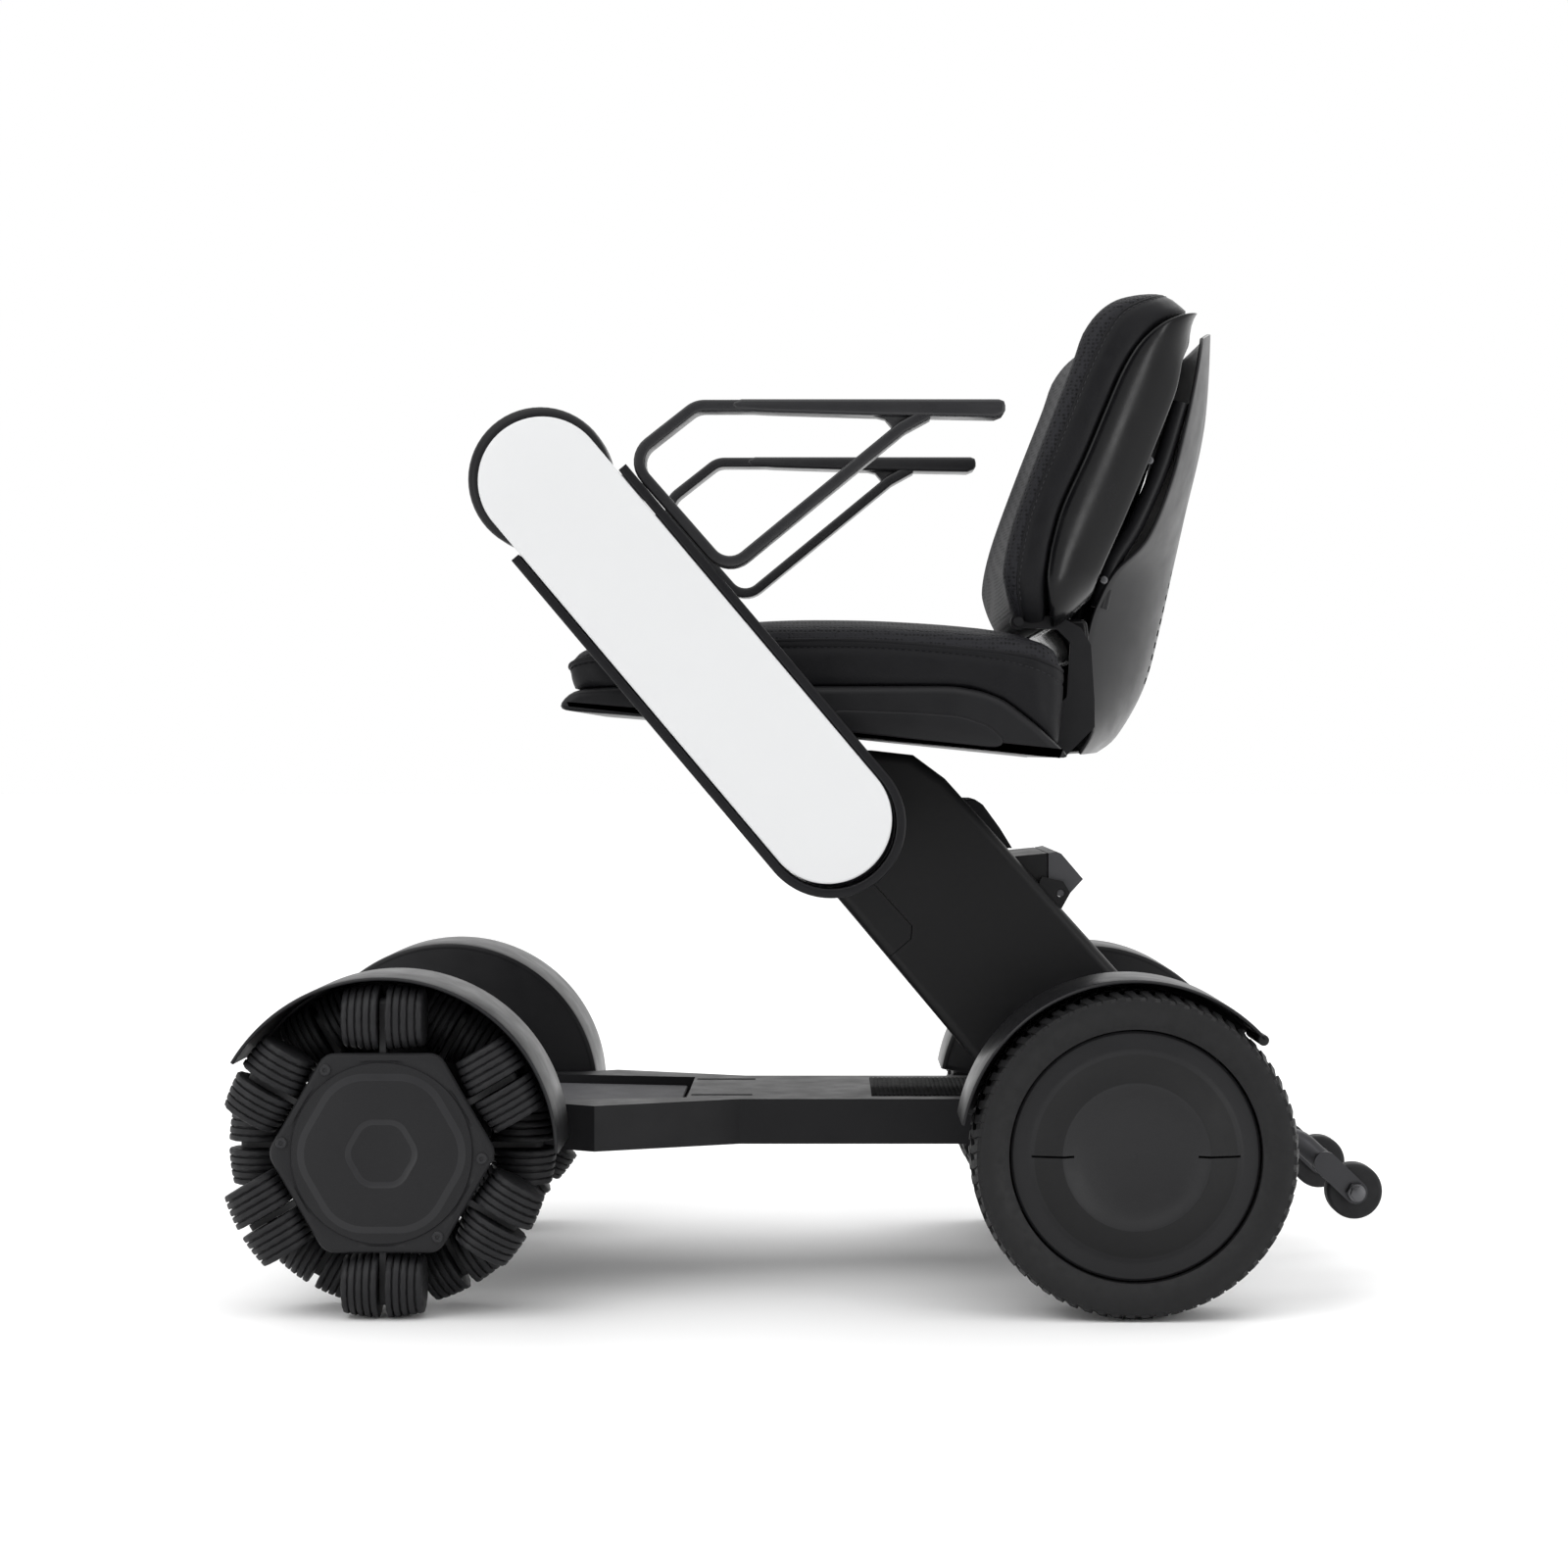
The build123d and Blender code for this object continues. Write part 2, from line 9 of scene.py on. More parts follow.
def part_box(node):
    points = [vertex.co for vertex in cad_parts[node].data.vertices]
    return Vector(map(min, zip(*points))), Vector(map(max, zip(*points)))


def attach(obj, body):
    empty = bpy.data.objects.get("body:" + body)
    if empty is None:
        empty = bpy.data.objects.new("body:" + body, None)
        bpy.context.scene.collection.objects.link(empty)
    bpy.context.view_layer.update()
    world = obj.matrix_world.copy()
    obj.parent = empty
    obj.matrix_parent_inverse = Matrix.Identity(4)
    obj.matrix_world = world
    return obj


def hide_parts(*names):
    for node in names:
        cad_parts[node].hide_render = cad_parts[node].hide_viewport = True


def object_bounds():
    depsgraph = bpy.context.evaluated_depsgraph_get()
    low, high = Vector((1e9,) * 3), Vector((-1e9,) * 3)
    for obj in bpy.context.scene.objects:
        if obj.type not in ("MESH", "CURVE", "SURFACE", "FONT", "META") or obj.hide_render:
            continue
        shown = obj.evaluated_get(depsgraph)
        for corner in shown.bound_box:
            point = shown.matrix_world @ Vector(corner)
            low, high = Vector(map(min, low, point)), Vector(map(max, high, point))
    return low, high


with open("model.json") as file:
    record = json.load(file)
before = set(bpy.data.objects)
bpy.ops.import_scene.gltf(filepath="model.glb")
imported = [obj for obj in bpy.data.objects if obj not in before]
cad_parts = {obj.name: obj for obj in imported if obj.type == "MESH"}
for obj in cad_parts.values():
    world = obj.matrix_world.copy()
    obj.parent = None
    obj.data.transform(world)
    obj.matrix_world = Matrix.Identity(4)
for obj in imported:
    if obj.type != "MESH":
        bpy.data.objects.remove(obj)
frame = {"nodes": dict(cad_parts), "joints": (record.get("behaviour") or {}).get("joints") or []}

# Compact powered mobility chair. Metres, +Z up, the chair faces -Y, the rider's left is +X.
# Side profiles are lists of (y, z) points; a round edge is made by insetting them.

cad_low, cad_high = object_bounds()
JOINTS = {j["name"]: j for j in frame["joints"]}
SIDES = {"left": 1, "right": -1}
MM = 0.001


def joint_at(name):
    return Vector(JOINTS[name]["pos_m"])


def axle(name):
    """(y, z) of a joint that turns about a cross axis."""
    return tuple(joint_at(name).yz)


def mm(points):
    """Pairs in millimetres as pairs in metres."""
    return [(a * MM, b * MM) for a, b in points]


def add_object(name, data):
    obj = bpy.data.objects.new(name, data)
    bpy.context.scene.collection.objects.link(obj)
    return obj


# ---------------------------------------------------------------- materials
def add_node(tree, kind, **inputs):
    """Shader node with some inputs set; an underscore stands for a space in an input's name."""
    node = tree.nodes.new(kind)
    set_inputs(node, **inputs)
    return node


def set_inputs(node, **inputs):
    for name, value in inputs.items():
        node.inputs[name.replace("_", " ")].default_value = value


def node_material(name, colour, rough, metal=0.0, spec=0.16):
    """A principled material and the handles that the detail functions below build on."""
    mat = bpy.data.materials.new(name)
    mat.use_nodes = True
    shader = mat.node_tree.nodes["Principled BSDF"]
    set_inputs(shader, Base_Color=(*colour, 1), Roughness=rough, Metallic=metal, Specular_IOR_Level=spec)
    return mat, mat.node_tree, shader


def object_coords(tree, stretch=(1, 1, 1)):
    coords = tree.nodes.new("ShaderNodeTexCoord")
    mapping = add_node(tree, "ShaderNodeMapping", Scale=stretch)
    tree.links.new(coords.outputs["Object"], mapping.inputs["Vector"])
    return mapping.outputs["Vector"]


def noise(tree, where, scale, detail=4.0, rough=0.55):
    tex = add_node(tree, "ShaderNodeTexNoise", Scale=scale, Detail=detail, Roughness=rough)
    tree.links.new(where, tex.inputs["Vector"])
    return tex.outputs["Fac"]


def cell_distance(tree, where, **inputs):
    """Distance to the middle of the nearest cell."""
    cells = add_node(tree, "ShaderNodeTexVoronoi", **inputs)
    tree.links.new(where, cells.inputs["Vector"])
    return cells.outputs["Distance"]


def spread(tree, value, low, high, start=0.3, end=0.7):
    """A value between start and end mapped to the range low..high."""
    node = add_node(tree, "ShaderNodeMapRange", From_Min=start, From_Max=end, To_Min=low, To_Max=high)
    tree.links.new(value, node.inputs["Value"])
    return node.outputs["Result"]


def gloss(tree, shader, value, low, high, start=0.3, end=0.7):
    """Roughness that varies between low and high."""
    tree.links.new(spread(tree, value, low, high, start, end), shader.inputs["Roughness"])


def tint(tree, shader, value, dark, light):
    """Base colour that varies between two colours with a 0..1 value."""
    ramp = tree.nodes.new("ShaderNodeValToRGB")
    ramp.color_ramp.elements[0].color = (*dark, 1)
    ramp.color_ramp.elements[1].color = (*light, 1)
    tree.links.new(value, ramp.inputs["Fac"])
    tree.links.new(ramp.outputs["Color"], shader.inputs["Base Color"])


def emboss(tree, shader, value, strength, distance):
    bump = add_node(tree, "ShaderNodeBump", Strength=strength, Distance=distance)
    tree.links.new(value, bump.inputs["Height"])
    tree.links.new(bump.outputs["Normal"], shader.inputs["Normal"])


def shade(colour, factor):
    return tuple(min(1.0, c * factor) for c in colour)


def moulded(name, colour, rough, grain=900, depth=0.00008, contrast=0.12, spec=0.16):
    """Moulded plastic: fine spark-eroded grain, slight tone drift and handling marks in the gloss."""
    mat, tree, shader = node_material(name, colour, rough, spec=spec)
    where = object_coords(tree)
    tint(tree, shader, noise(tree, where, 9, 3), shade(colour, 1 - contrast), shade(colour, 1 + contrast))
    gloss(tree, shader, noise(tree, where, 40, 5), rough - 0.05, rough + 0.06)
    emboss(tree, shader, noise(tree, where, grain, 2), 0.5, depth)
    return mat


def rubber(name, colour, rough=0.55):
    mat, tree, shader = node_material(name, colour, rough, spec=0.22)
    where = object_coords(tree)
    tint(tree, shader, noise(tree, where, 60, 6, 0.7), shade(colour, 0.75), shade(colour, 1.35))
    gloss(tree, shader, noise(tree, where, 140, 4), rough - 0.1, rough + 0.1)
    emboss(tree, shader, noise(tree, where, 1400, 3), 0.6, 0.00012)
    return mat


def metal(name, colour, rough, stretch=(1, 1, 1)):
    """Cast, plated or turned metal; turning streaks run along the direction that isn't stretched."""
    mat, tree, shader = node_material(name, colour, rough, metal=1.0)
    streaks = noise(tree, object_coords(tree, stretch), 30, 4)
    gloss(tree, shader, streaks, rough - 0.08, rough + 0.12)
    emboss(tree, shader, streaks, 0.25, 0.00005)
    return mat


def mesh_fabric(name, colour, cell=0.0034):
    """Spacer mesh: a field of small round openings in a knitted face; the openings are painted dark as the
    shade inside them and the knit lighter.
    """
    mat, tree, shader = node_material(name, colour, 0.55, spec=0.12)
    distance = cell_distance(tree, object_coords(tree), Scale=1 / cell, Randomness=0.3)
    hole_shade_and_depth = spread(tree, distance, 0.0, 1.0, 0.12, 0.5)
    # painted shade: the colour darkens towards each opening's middle, and the same mask sinks it as a bump
    tint(tree, shader, hole_shade_and_depth, shade(colour, 0.2), shade(colour, 1.6))
    emboss(tree, shader, hole_shade_and_depth, 0.8, 0.0007)
    return mat


def leather(name, colour):
    """Smooth coated cloth with a fine pebbled grain; soft creases are painted into its colour as darker and
    lighter patches of shade, with the gloss following them.
    """
    mat, tree, shader = node_material(name, colour, 0.42, spec=0.12)
    where = object_coords(tree)
    crease_shade_and_gloss = noise(tree, where, 45, 6, 0.6)
    # painted shade and highlight of soft creases: darker and lighter patches of colour from the noise
    tint(tree, shader, crease_shade_and_gloss, shade(colour, 0.8), shade(colour, 1.25))
    gloss(tree, shader, crease_shade_and_gloss, 0.42, 0.6)
    emboss(tree, shader, cell_distance(tree, where, Scale=900), 0.45, 0.00018)
    return mat


M = {
    "deck": moulded("deck_coating", (0.009, 0.009, 0.01), 0.42),
    "tread": moulded("tread_mat", (0.07, 0.07, 0.075), 0.6, grain=500, depth=0.0003),
    "base": moulded("base_plastic", (0.012, 0.012, 0.013), 0.5),
    "column": moulded("column_plastic", (0.009, 0.009, 0.0095), 0.4),
    "battery": moulded("battery_grip", (0.008, 0.008, 0.009), 0.62, grain=700, depth=0.0002),
    "lever": moulded("lever_grey", (0.06, 0.06, 0.064), 0.4),
    "motor": metal("motor_casting", (0.05, 0.05, 0.052), 0.5),
    "steel": metal("turned_steel", (0.6, 0.6, 0.61), 0.3, stretch=(1, 40, 40)),
    "bracket": moulded("bracket_coating", (0.01, 0.01, 0.011), 0.4),
    "fender": moulded("fender_plastic", (0.009, 0.009, 0.01), 0.34, spec=0.2),
    "pan": moulded("pan_plastic", (0.011, 0.011, 0.012), 0.4),
    "seat_mesh": mesh_fabric("seat_mesh", (0.009, 0.009, 0.0105)),
    "border": leather("seat_border", (0.007, 0.007, 0.008)),
    "shell": moulded("shell_gloss", (0.003, 0.003, 0.0035), 0.22, depth=0.00001, spec=0.18),
    "rear_panel": moulded("rear_panel_plastic", (0.01, 0.01, 0.011), 0.34, spec=0.3),
    "arm": moulded("arm_plastic", (0.007, 0.007, 0.008), 0.42),
    "white": moulded("white_satin", (0.585, 0.59, 0.595), 0.34, grain=1200, depth=0.00002, contrast=0.015),
    "armrest": moulded("armrest_satin", (0.018, 0.018, 0.0195), 0.32, spec=0.32),
    "hub": moulded("hub_plastic", (0.022, 0.022, 0.023), 0.45),
    "cover": moulded("hub_cover_grain", (0.013, 0.013, 0.014), 0.5, grain=650, depth=0.0003),
    # painted shade and light on the rear wheel cover, one moulding: the raised ring is a darker copy and the
    # dish a lighter copy of its plastic, standing in for the relief's shading
    "ring": moulded("wheel_ring_shade", (0.0105, 0.0105, 0.011), 0.5, grain=700, depth=0.00015),
    "dish": moulded("wheel_dish_light", (0.017, 0.017, 0.018), 0.42, grain=700, depth=0.00015),
    "fork": metal("fork_paint", (0.05, 0.05, 0.053), 0.45),
    # painted highlight: a lighter, smoother copy of the hub cover's black, for the cover's sloped steps and
    # its screws
    "band": moulded("hub_cover_band_highlight", (0.022, 0.022, 0.0235), 0.36, grain=650, depth=0.0001),
    "roller": rubber("roller_rubber", (0.01, 0.01, 0.011)),
    "tyre": rubber("tyre_rubber", (0.008, 0.008, 0.0085)),
    "wheel": moulded("wheel_plastic", (0.014, 0.014, 0.015), 0.42),
    "tube": moulded("tube_coating", (0.008, 0.008, 0.009), 0.35),
    "joystick": rubber("joystick_rubber", (0.008, 0.008, 0.009), 0.6),
    "mat": rubber("deck_mat_rubber", (0.003, 0.003, 0.0032), 0.85),
    "nut": metal("nut_zinc", (0.1, 0.1, 0.105), 0.4),
    "thread": moulded("thread", (0.02, 0.02, 0.022), 0.6, grain=3000),
}

CAD_LOOK = {
    "platform": "deck", "foot_plate": "tread", "drive_base": "base", "gear_motors": "motor",
    "column_shell": "column", "column_cover": "column", "front_axle": "steel", "battery": "battery",
    "release_lever": "lever", "hinge_brackets": "bracket", "front_fenders": "fender",
    "rear_fenders": "fender", "seat_pan": "pan", "anti_tip_bars": "fork", "joystick_gimbal": "joystick",
    "joystick_knob": "joystick", "seat_cushion": "seat_mesh", "back_cushion": "seat_mesh",
    "back_shell": "shell", "back_panel": "rear_panel", "rear_tyre": "tyre", "rear_wheel": "wheel",
    "front_hub": "hub", "front_hub_cover": "cover", "arm_frame": "arm", "arm_panel": "white",
    "armrest": "armrest",
}
for name, node in frame["nodes"].items():
    look = CAD_LOOK.get(name.removesuffix("_left").removesuffix("_right"), "roller")
    node.data.materials.clear()
    node.data.materials.append(M[look])


# ---------------------------------------------------------------- mesh building
def shade_smooth(mesh, degrees):
    """Smooth shading with sharp edges above an angle."""
    for face in mesh.polygons:
        face.use_smooth = True
    mesh.set_sharp_from_angle(angle=math.radians(degrees))


def finish_piece(obj, body, looks, stands_for=(), smooth=40):
    """Materials, smooth shading, the body it rides on and the CAD nodes it stands for."""
    for look in looks:
        obj.data.materials.append(M[look])
    shade_smooth(obj.data, smooth)
    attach(obj, body)
    if stands_for:
        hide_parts(*stands_for)
    return obj


def new_piece(name, verts, faces, slots=None):
    mesh = bpy.data.meshes.new(name)
    mesh.from_pydata([tuple(v) for v in verts], [], faces)
    if slots:
        for face, slot in zip(mesh.polygons, slots):
            face.material_index = slot
    build = bmesh.new()
    build.from_mesh(mesh)
    bmesh.ops.recalc_face_normals(build, faces=build.faces)
    build.to_mesh(mesh)
    build.free()
    return add_object(name, mesh)


def ring_stack(rings, closed_ends=True):
    """Vertices and faces of a skin over rings that all have the same number of points."""
    count = len(rings[0])
    verts = [v for ring in rings for v in ring]
    faces = []
    for r in range(len(rings) - 1):
        for i in range(count):
            j = (i + 1) % count
            faces.append((r * count + i, r * count + j, (r + 1) * count + j, (r + 1) * count + i))
    if closed_ends:
        faces.append(tuple(range(count - 1, -1, -1)))
        faces.append(tuple(range(len(verts) - count, len(verts))))
    return verts, faces


def ring_skin(name, rings):
    """Piece over a stack of rings with both ends closed."""
    return new_piece(name, *ring_stack(rings))


def ring_loop(name, rings):
    """Piece over rings that come round to the first one again."""
    verts, faces = ring_stack(rings + [rings[0]], closed_ends=False)
    total = len(rings) * len(rings[0])
    return new_piece(name, verts[:total], [tuple(i % total for i in face) for face in faces])


def about_x(x, centre, radius, angle):
    """Point at a radius and angle about a cross axis through a (y, z) centre."""
    return Vector((x, centre[0] + radius * math.cos(angle), centre[1] + radius * math.sin(angle)))


def cord_ring(point, out, up, radius, sides):
    """Circle of points round the middle of a cord."""
    turns = [2 * math.pi * k / sides for k in range(sides)]
    return [point + (out * math.cos(a) + up * math.sin(a)) * radius for a in turns]


def densify(points, step):
    """A closed outline with extra points on its long runs."""
    result = []
    for i, a in enumerate(points):
        b = points[(i + 1) % len(points)]
        gap = math.dist(a, b)
        parts = max(1, round(gap / step))
        for k in range(parts):
            t = k / parts
            result.append((a[0] + (b[0] - a[0]) * t, a[1] + (b[1] - a[1]) * t))
    return result


def soften(points, rounds):
    """Rounds the corners of a closed outline by averaging neighbours."""
    for _ in range(rounds):
        count = len(points)
        points = [
            ((points[i - 1][0] + 2 * points[i][0] + points[(i + 1) % count][0]) / 4,
             (points[i - 1][1] + 2 * points[i][1] + points[(i + 1) % count][1]) / 4)
            for i in range(count)
        ]
    return points


def softened(points, step, rounds):
    """Closed outline given in millimetres, in metres and with its corners rounded."""
    return soften(densify(mm(points), step), rounds)


def outline_normals(points):
    """Unit normals that point out of a closed outline."""
    count = len(points)
    area = sum(points[i][0] * points[(i + 1) % count][1] - points[(i + 1) % count][0] * points[i][1]
               for i in range(count))
    turn = 1 if area > 0 else -1
    normals = []
    for i in range(count):
        ay, az = points[i - 1]
        by, bz = points[(i + 1) % count]
        length = math.hypot(by - ay, bz - az) or 1
        normals.append((turn * (bz - az) / length, -turn * (by - ay) / length))
    return normals


def stations(x0, x1, edge, steps=5, spans=1):
    """(x, inset) pairs across a prism whose long edges are rounded with radius edge."""
    lead = []
    for k in range(steps + 1):
        angle = math.pi / 2 * k / steps
        lead.append((x0 + edge * (1 - math.cos(angle)), edge * (1 - math.sin(angle))))
    middle = [(x0 + edge + (x1 - x0 - 2 * edge) * k / spans, 0.0) for k in range(1, spans)]
    tail = [(x0 + x1 - x, inset) for x, inset in reversed(lead)]
    return lead + middle + tail


def inset_ring(outline, x, inset):
    """Side outline at one x, moved inwards."""
    return [Vector((x, y - ny * inset, z - nz * inset))
            for (y, z), (ny, nz) in zip(outline, outline_normals(outline))]


def prism_rings(outline, x0, x1, edge, steps=5, spans=1):
    return [inset_ring(outline, x, inset) for x, inset in stations(x0, x1, edge, steps, spans)]


def prism(name, outline, x0, x1, edge, **options):
    """Soft-edged prism along X with a side profile."""
    return ring_skin(name, prism_rings(outline, x0, x1, edge, **options))


def arc(centre, radius, start, end, steps):
    """Points of a circular arc in the side view, angles in degrees."""
    points = []
    for k in range(steps + 1):
        angle = math.radians(start + (end - start) * k / steps)
        points.append((centre[0] + radius * math.cos(angle), centre[1] + radius * math.sin(angle)))
    return points


def lathe(name, profile, centre, turn=96):
    """Closed (x, radius) profile turned about the X axis through a (y, z) centre."""
    rings = []
    for k in range(turn):
        rings.append([about_x(x, centre, r, 2 * math.pi * k / turn) for x, r in profile])
    return ring_loop(name, rings)


def merge_pieces(name, parts):
    """Joins pieces into one object."""
    for part in parts:
        part.select_set(True)
    bpy.context.view_layer.objects.active = parts[0]
    with bpy.context.temp_override(active_object=parts[0], object=parts[0], selected_objects=parts,
                                   selected_editable_objects=parts):
        bpy.ops.object.join()
    parts[0].name = name
    for obj in bpy.context.selected_objects:
        obj.select_set(False)
    return parts[0]


def span(side, low, high):
    """X range on one side of the chair, lowest first."""
    sign = SIDES[side]
    return (low, high) if sign > 0 else (-high, -low)


# ---------------------------------------------------------------- front wheels
FRONT = {side: axle(f"front_wheel_{side}") for side in SIDES}
FRONT_RADIUS = 132.5 * MM
PIN_CIRCLE = 106 * MM
ROLLER_START = 3.5 * MM
ROLLER_END = 33 * MM
RIBS = 5


def barrel(t):
    """Radius of a roller at a distance along its pin, so that the wheel's rim is round."""
    return math.sqrt(FRONT_RADIUS ** 2 - t ** 2) - PIN_CIRCLE


def roller_mesh():
    """Both half rollers of one spoke about the local Z axis: ribbed bands with notched edges."""
    verts, faces = [], []
    turn = 60
    band = (ROLLER_END - ROLLER_START) / RIBS
    groove = 1.1 * MM
    for sign in (1, -1):
        levels = [(ROLLER_START, 5 * MM, 0)]
        for k in range(RIBS):
            t0 = ROLLER_START + k * band
            t1 = t0 + band - groove
            knob = 0.7 if k % 2 == 0 else 0.0
            for t, drop, notch in ((t0, 0.8, knob), (t0 + 0.5 * MM, 0.1, knob), (t0 + 1.3 * MM, 0, 0),
                                   (t1 - 1.3 * MM, 0, 0), (t1 - 0.5 * MM, 0.1, knob), (t1, 0.8, knob)):
                levels.append((t, barrel(t) - drop * MM, notch * MM))
            if k < RIBS - 1:
                deep = barrel(t1) - 2.6 * MM
                levels += [(t1 + 0.1 * MM, deep, 0), (t1 + groove - 0.1 * MM, deep, 0)]
        levels.append((ROLLER_END - groove, 5 * MM, 0))
        rings = []
        for t, radius, notch in levels:
            ring = []
            for k in range(turn):
                angle = 2 * math.pi * k / turn
                r = radius - (notch if k % 4 < 2 else 0)
                ring.append((r * math.cos(angle), r * math.sin(angle), sign * t))
            rings.append(ring)
        part_verts, part_faces = ring_stack(rings)
        faces += [tuple(i + len(verts) for i in face) for face in part_faces]
        verts += part_verts
    return new_piece("roller_shape", verts, faces)


def place_rollers():
    pattern = roller_mesh()
    shade_smooth(pattern.data, 35)
    pattern.data.materials.append(M["roller"])
    for name, joint in JOINTS.items():
        if not name.startswith("roller_"):
            continue
        obj = add_object(f"ribbed_{name}", pattern.data)
        axis = Vector(joint["axis"])
        turn = axis.to_track_quat("Z", "X").to_matrix().to_4x4()
        obj.matrix_world = Matrix.Translation(Vector(joint["pos_m"])) @ turn
        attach(obj, joint["child"])
        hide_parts(name)
    bpy.data.objects.remove(pattern)


def hexagon_radius(angle, flat, corner):
    """Distance to the edge of a hexagon with rounded corners at 0, 60, 120... degrees."""
    local = abs((angle % (math.pi / 3)) - math.pi / 6)
    reach = (flat - corner) / math.cos(math.pi / 6)
    if local <= math.atan2(reach / 2, flat):
        return flat / math.cos(local)
    off = math.pi / 6 - local
    return reach * math.cos(off) + math.sqrt(corner ** 2 - (reach * math.sin(off)) ** 2)


def hub_cover(side):
    """Rounded hexagon with a raised disc, an embossed ring and a small embossed hexagon."""
    sign = SIDES[side]
    centre = FRONT[side]
    lowest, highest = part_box(f"front_hub_cover_{side}")
    base = min(abs(lowest.x), abs(highest.x))
    turn = 144
    levels = [
        (0, 78.8, 14), (4.5, 78.8, 14), (6.0, 77.6, 13.4), (6.6, 76.0, 13), (6.7, 73.4, 40), (5.5, 73.0, 73),
        (5.5, 72.2, 72.2), (7.0, 71.4, 71.4), (7.2, 63.0, 40), (8.7, 57.5, 36), (8.8, 27.5, 17),
        (8.5, 27.0, 16.5), (7.4, 22.5, 13), (7.4, 6, 5),
    ]
    rings = []
    for height, flat, corner in levels:
        x = sign * (base + height * MM)
        angles = [2 * math.pi * k / turn for k in range(turn)]
        rings.append([about_x(x, centre, hexagon_radius(a, flat, corner) * MM, a) for a in angles])
    verts, faces = ring_stack(rings)
    # the step up to the raised disc and the step down round the small hexagon take the lighter copy, a
    # painted highlight; it is also smoother
    highlit_rings = (8, 11)
    slots = [1 if i // turn in highlit_rings else 0 for i in range(len(faces) - 2)] + [0, 0]
    cover = new_piece(f"hub_cover_{side}", verts, faces, slots)
    return finish_piece(cover, f"front_wheel_{side}", ["cover", "band"],
                        (f"front_hub_cover_{side}",), smooth=25)


def hub_screws(side):
    """Four small socket screws in the corners of the cover."""
    sign = SIDES[side]
    centre = FRONT[side]
    highest = max(abs(c.x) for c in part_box(f"front_hub_cover_{side}"))
    profile = [(0, 0.2), (0, 4.4), (1.6, 4.4), (2.2, 3.8), (2.2, 2.0), (1.2, 1.8), (1.2, 0.2)]
    parts = []
    for index, degrees in enumerate((124, 174, 304, 357)):
        angle = math.radians(degrees)
        middle = about_x(0, centre, 79.5 * MM, angle).yz
        seat = highest - 1.8 * MM
        points = [(sign * (seat + x * MM), r * MM) for x, r in profile]
        parts.append(lathe(f"screw_{side}_{index}", points, middle, 20))
    screws = merge_pieces(f"hub_screws_{side}", parts)
    # the screws take the same lighter copy of the cover's black, a painted highlight
    return finish_piece(screws, f"front_wheel_{side}", ["band"], smooth=30)


place_rollers()
for side in SIDES:
    hub_cover(side)
    hub_screws(side)

# ---------------------------------------------------------------- rear wheels
REAR = {side: axle(f"rear_wheel_{side}") for side in SIDES}
REAR_RADIUS = 130
TYRE_FACES = (198 * MM, 277 * MM)
BLOCK_FACES = ((0, 1, 3, 2), (4, 6, 7, 5), (2, 3, 7, 6), (0, 4, 5, 1), (0, 2, 6, 4), (1, 5, 7, 3))


def tyre(side):
    """Carcass with a sloped sidewall ring, and two rows of slanted tread blocks."""
    sign = SIDES[side]
    inner, outer = TYRE_FACES
    half = [(6.5, 100.4), (5.0, 103), (1.6, 109), (0.2, 116), (0.0, 119.5), (0.8, 123.5), (4, 126),
            (14, 127.2), (39, 127.6)]
    left = [(inner + x * MM, r * MM) for x, r in half]
    right = [(outer - x * MM, r * MM) for x, r in reversed(half[:-1])]
    profile = [(sign * x, r) for x, r in left + right]
    carcass = lathe(f"carcass_{side}", profile, REAR[side], 134)
    whole = merge_pieces(f"tyre_{side}", [carcass, tread(side)])
    return finish_piece(whole, f"rear_wheel_{side}", ["tyre"], (f"rear_tyre_{side}",), smooth=30)


def tread(side):
    """Four rows of slanted blocks; the two outer rows drop to a lower foot at the shoulder."""
    inner, outer = TYRE_FACES
    blocks = 67
    pitch = 2 * math.pi / blocks
    rows = (
        (inner + 1.0 * MM, inner + 17 * MM, 0.0, 0.35), (inner + 19 * MM, inner + 37.5 * MM, 0.35, 0.0),
        (outer - 37.5 * MM, outer - 19 * MM, 0.5, 0.85), (outer - 17 * MM, outer - 1.0 * MM, 0.85, 0.5),
    )
    verts, faces = [], []
    for x0, x1, shift0, shift1 in rows:
        for k in range(blocks):
            base = len(verts)
            for x, shift in ((x0, shift0), (x1, shift1)):
                shoulder = min(x - inner, outer - x) < 3 * MM
                low, top = (121.5, 126.2) if shoulder else (126.6, REAR_RADIUS)
                for r, first, last in ((low, 0.0, 0.62), (top, 0.035, 0.55)):
                    for part in (first, last):
                        angle = pitch * (k + shift + part)
                        verts.append(about_x(SIDES[side] * x, REAR[side], r * MM, angle))
            faces += [tuple(base + i for i in face) for face in BLOCK_FACES]
    return new_piece(f"tread_{side}", verts, faces)


def cut_slit(disc, outline, low, high):
    """Cuts a prism out of the disc."""
    slit = prism("slit", outline, low, high, 0.1 * MM, steps=1)
    cut = disc.modifiers.new("slit", "BOOLEAN")
    cut.object = slit
    cut.operation = "DIFFERENCE"
    cut.solver = "EXACT"
    bpy.context.view_layer.objects.active = disc
    with bpy.context.temp_override(object=disc, active_object=disc):
        bpy.ops.object.modifier_apply(modifier=cut.name)
    bpy.data.objects.remove(slit)


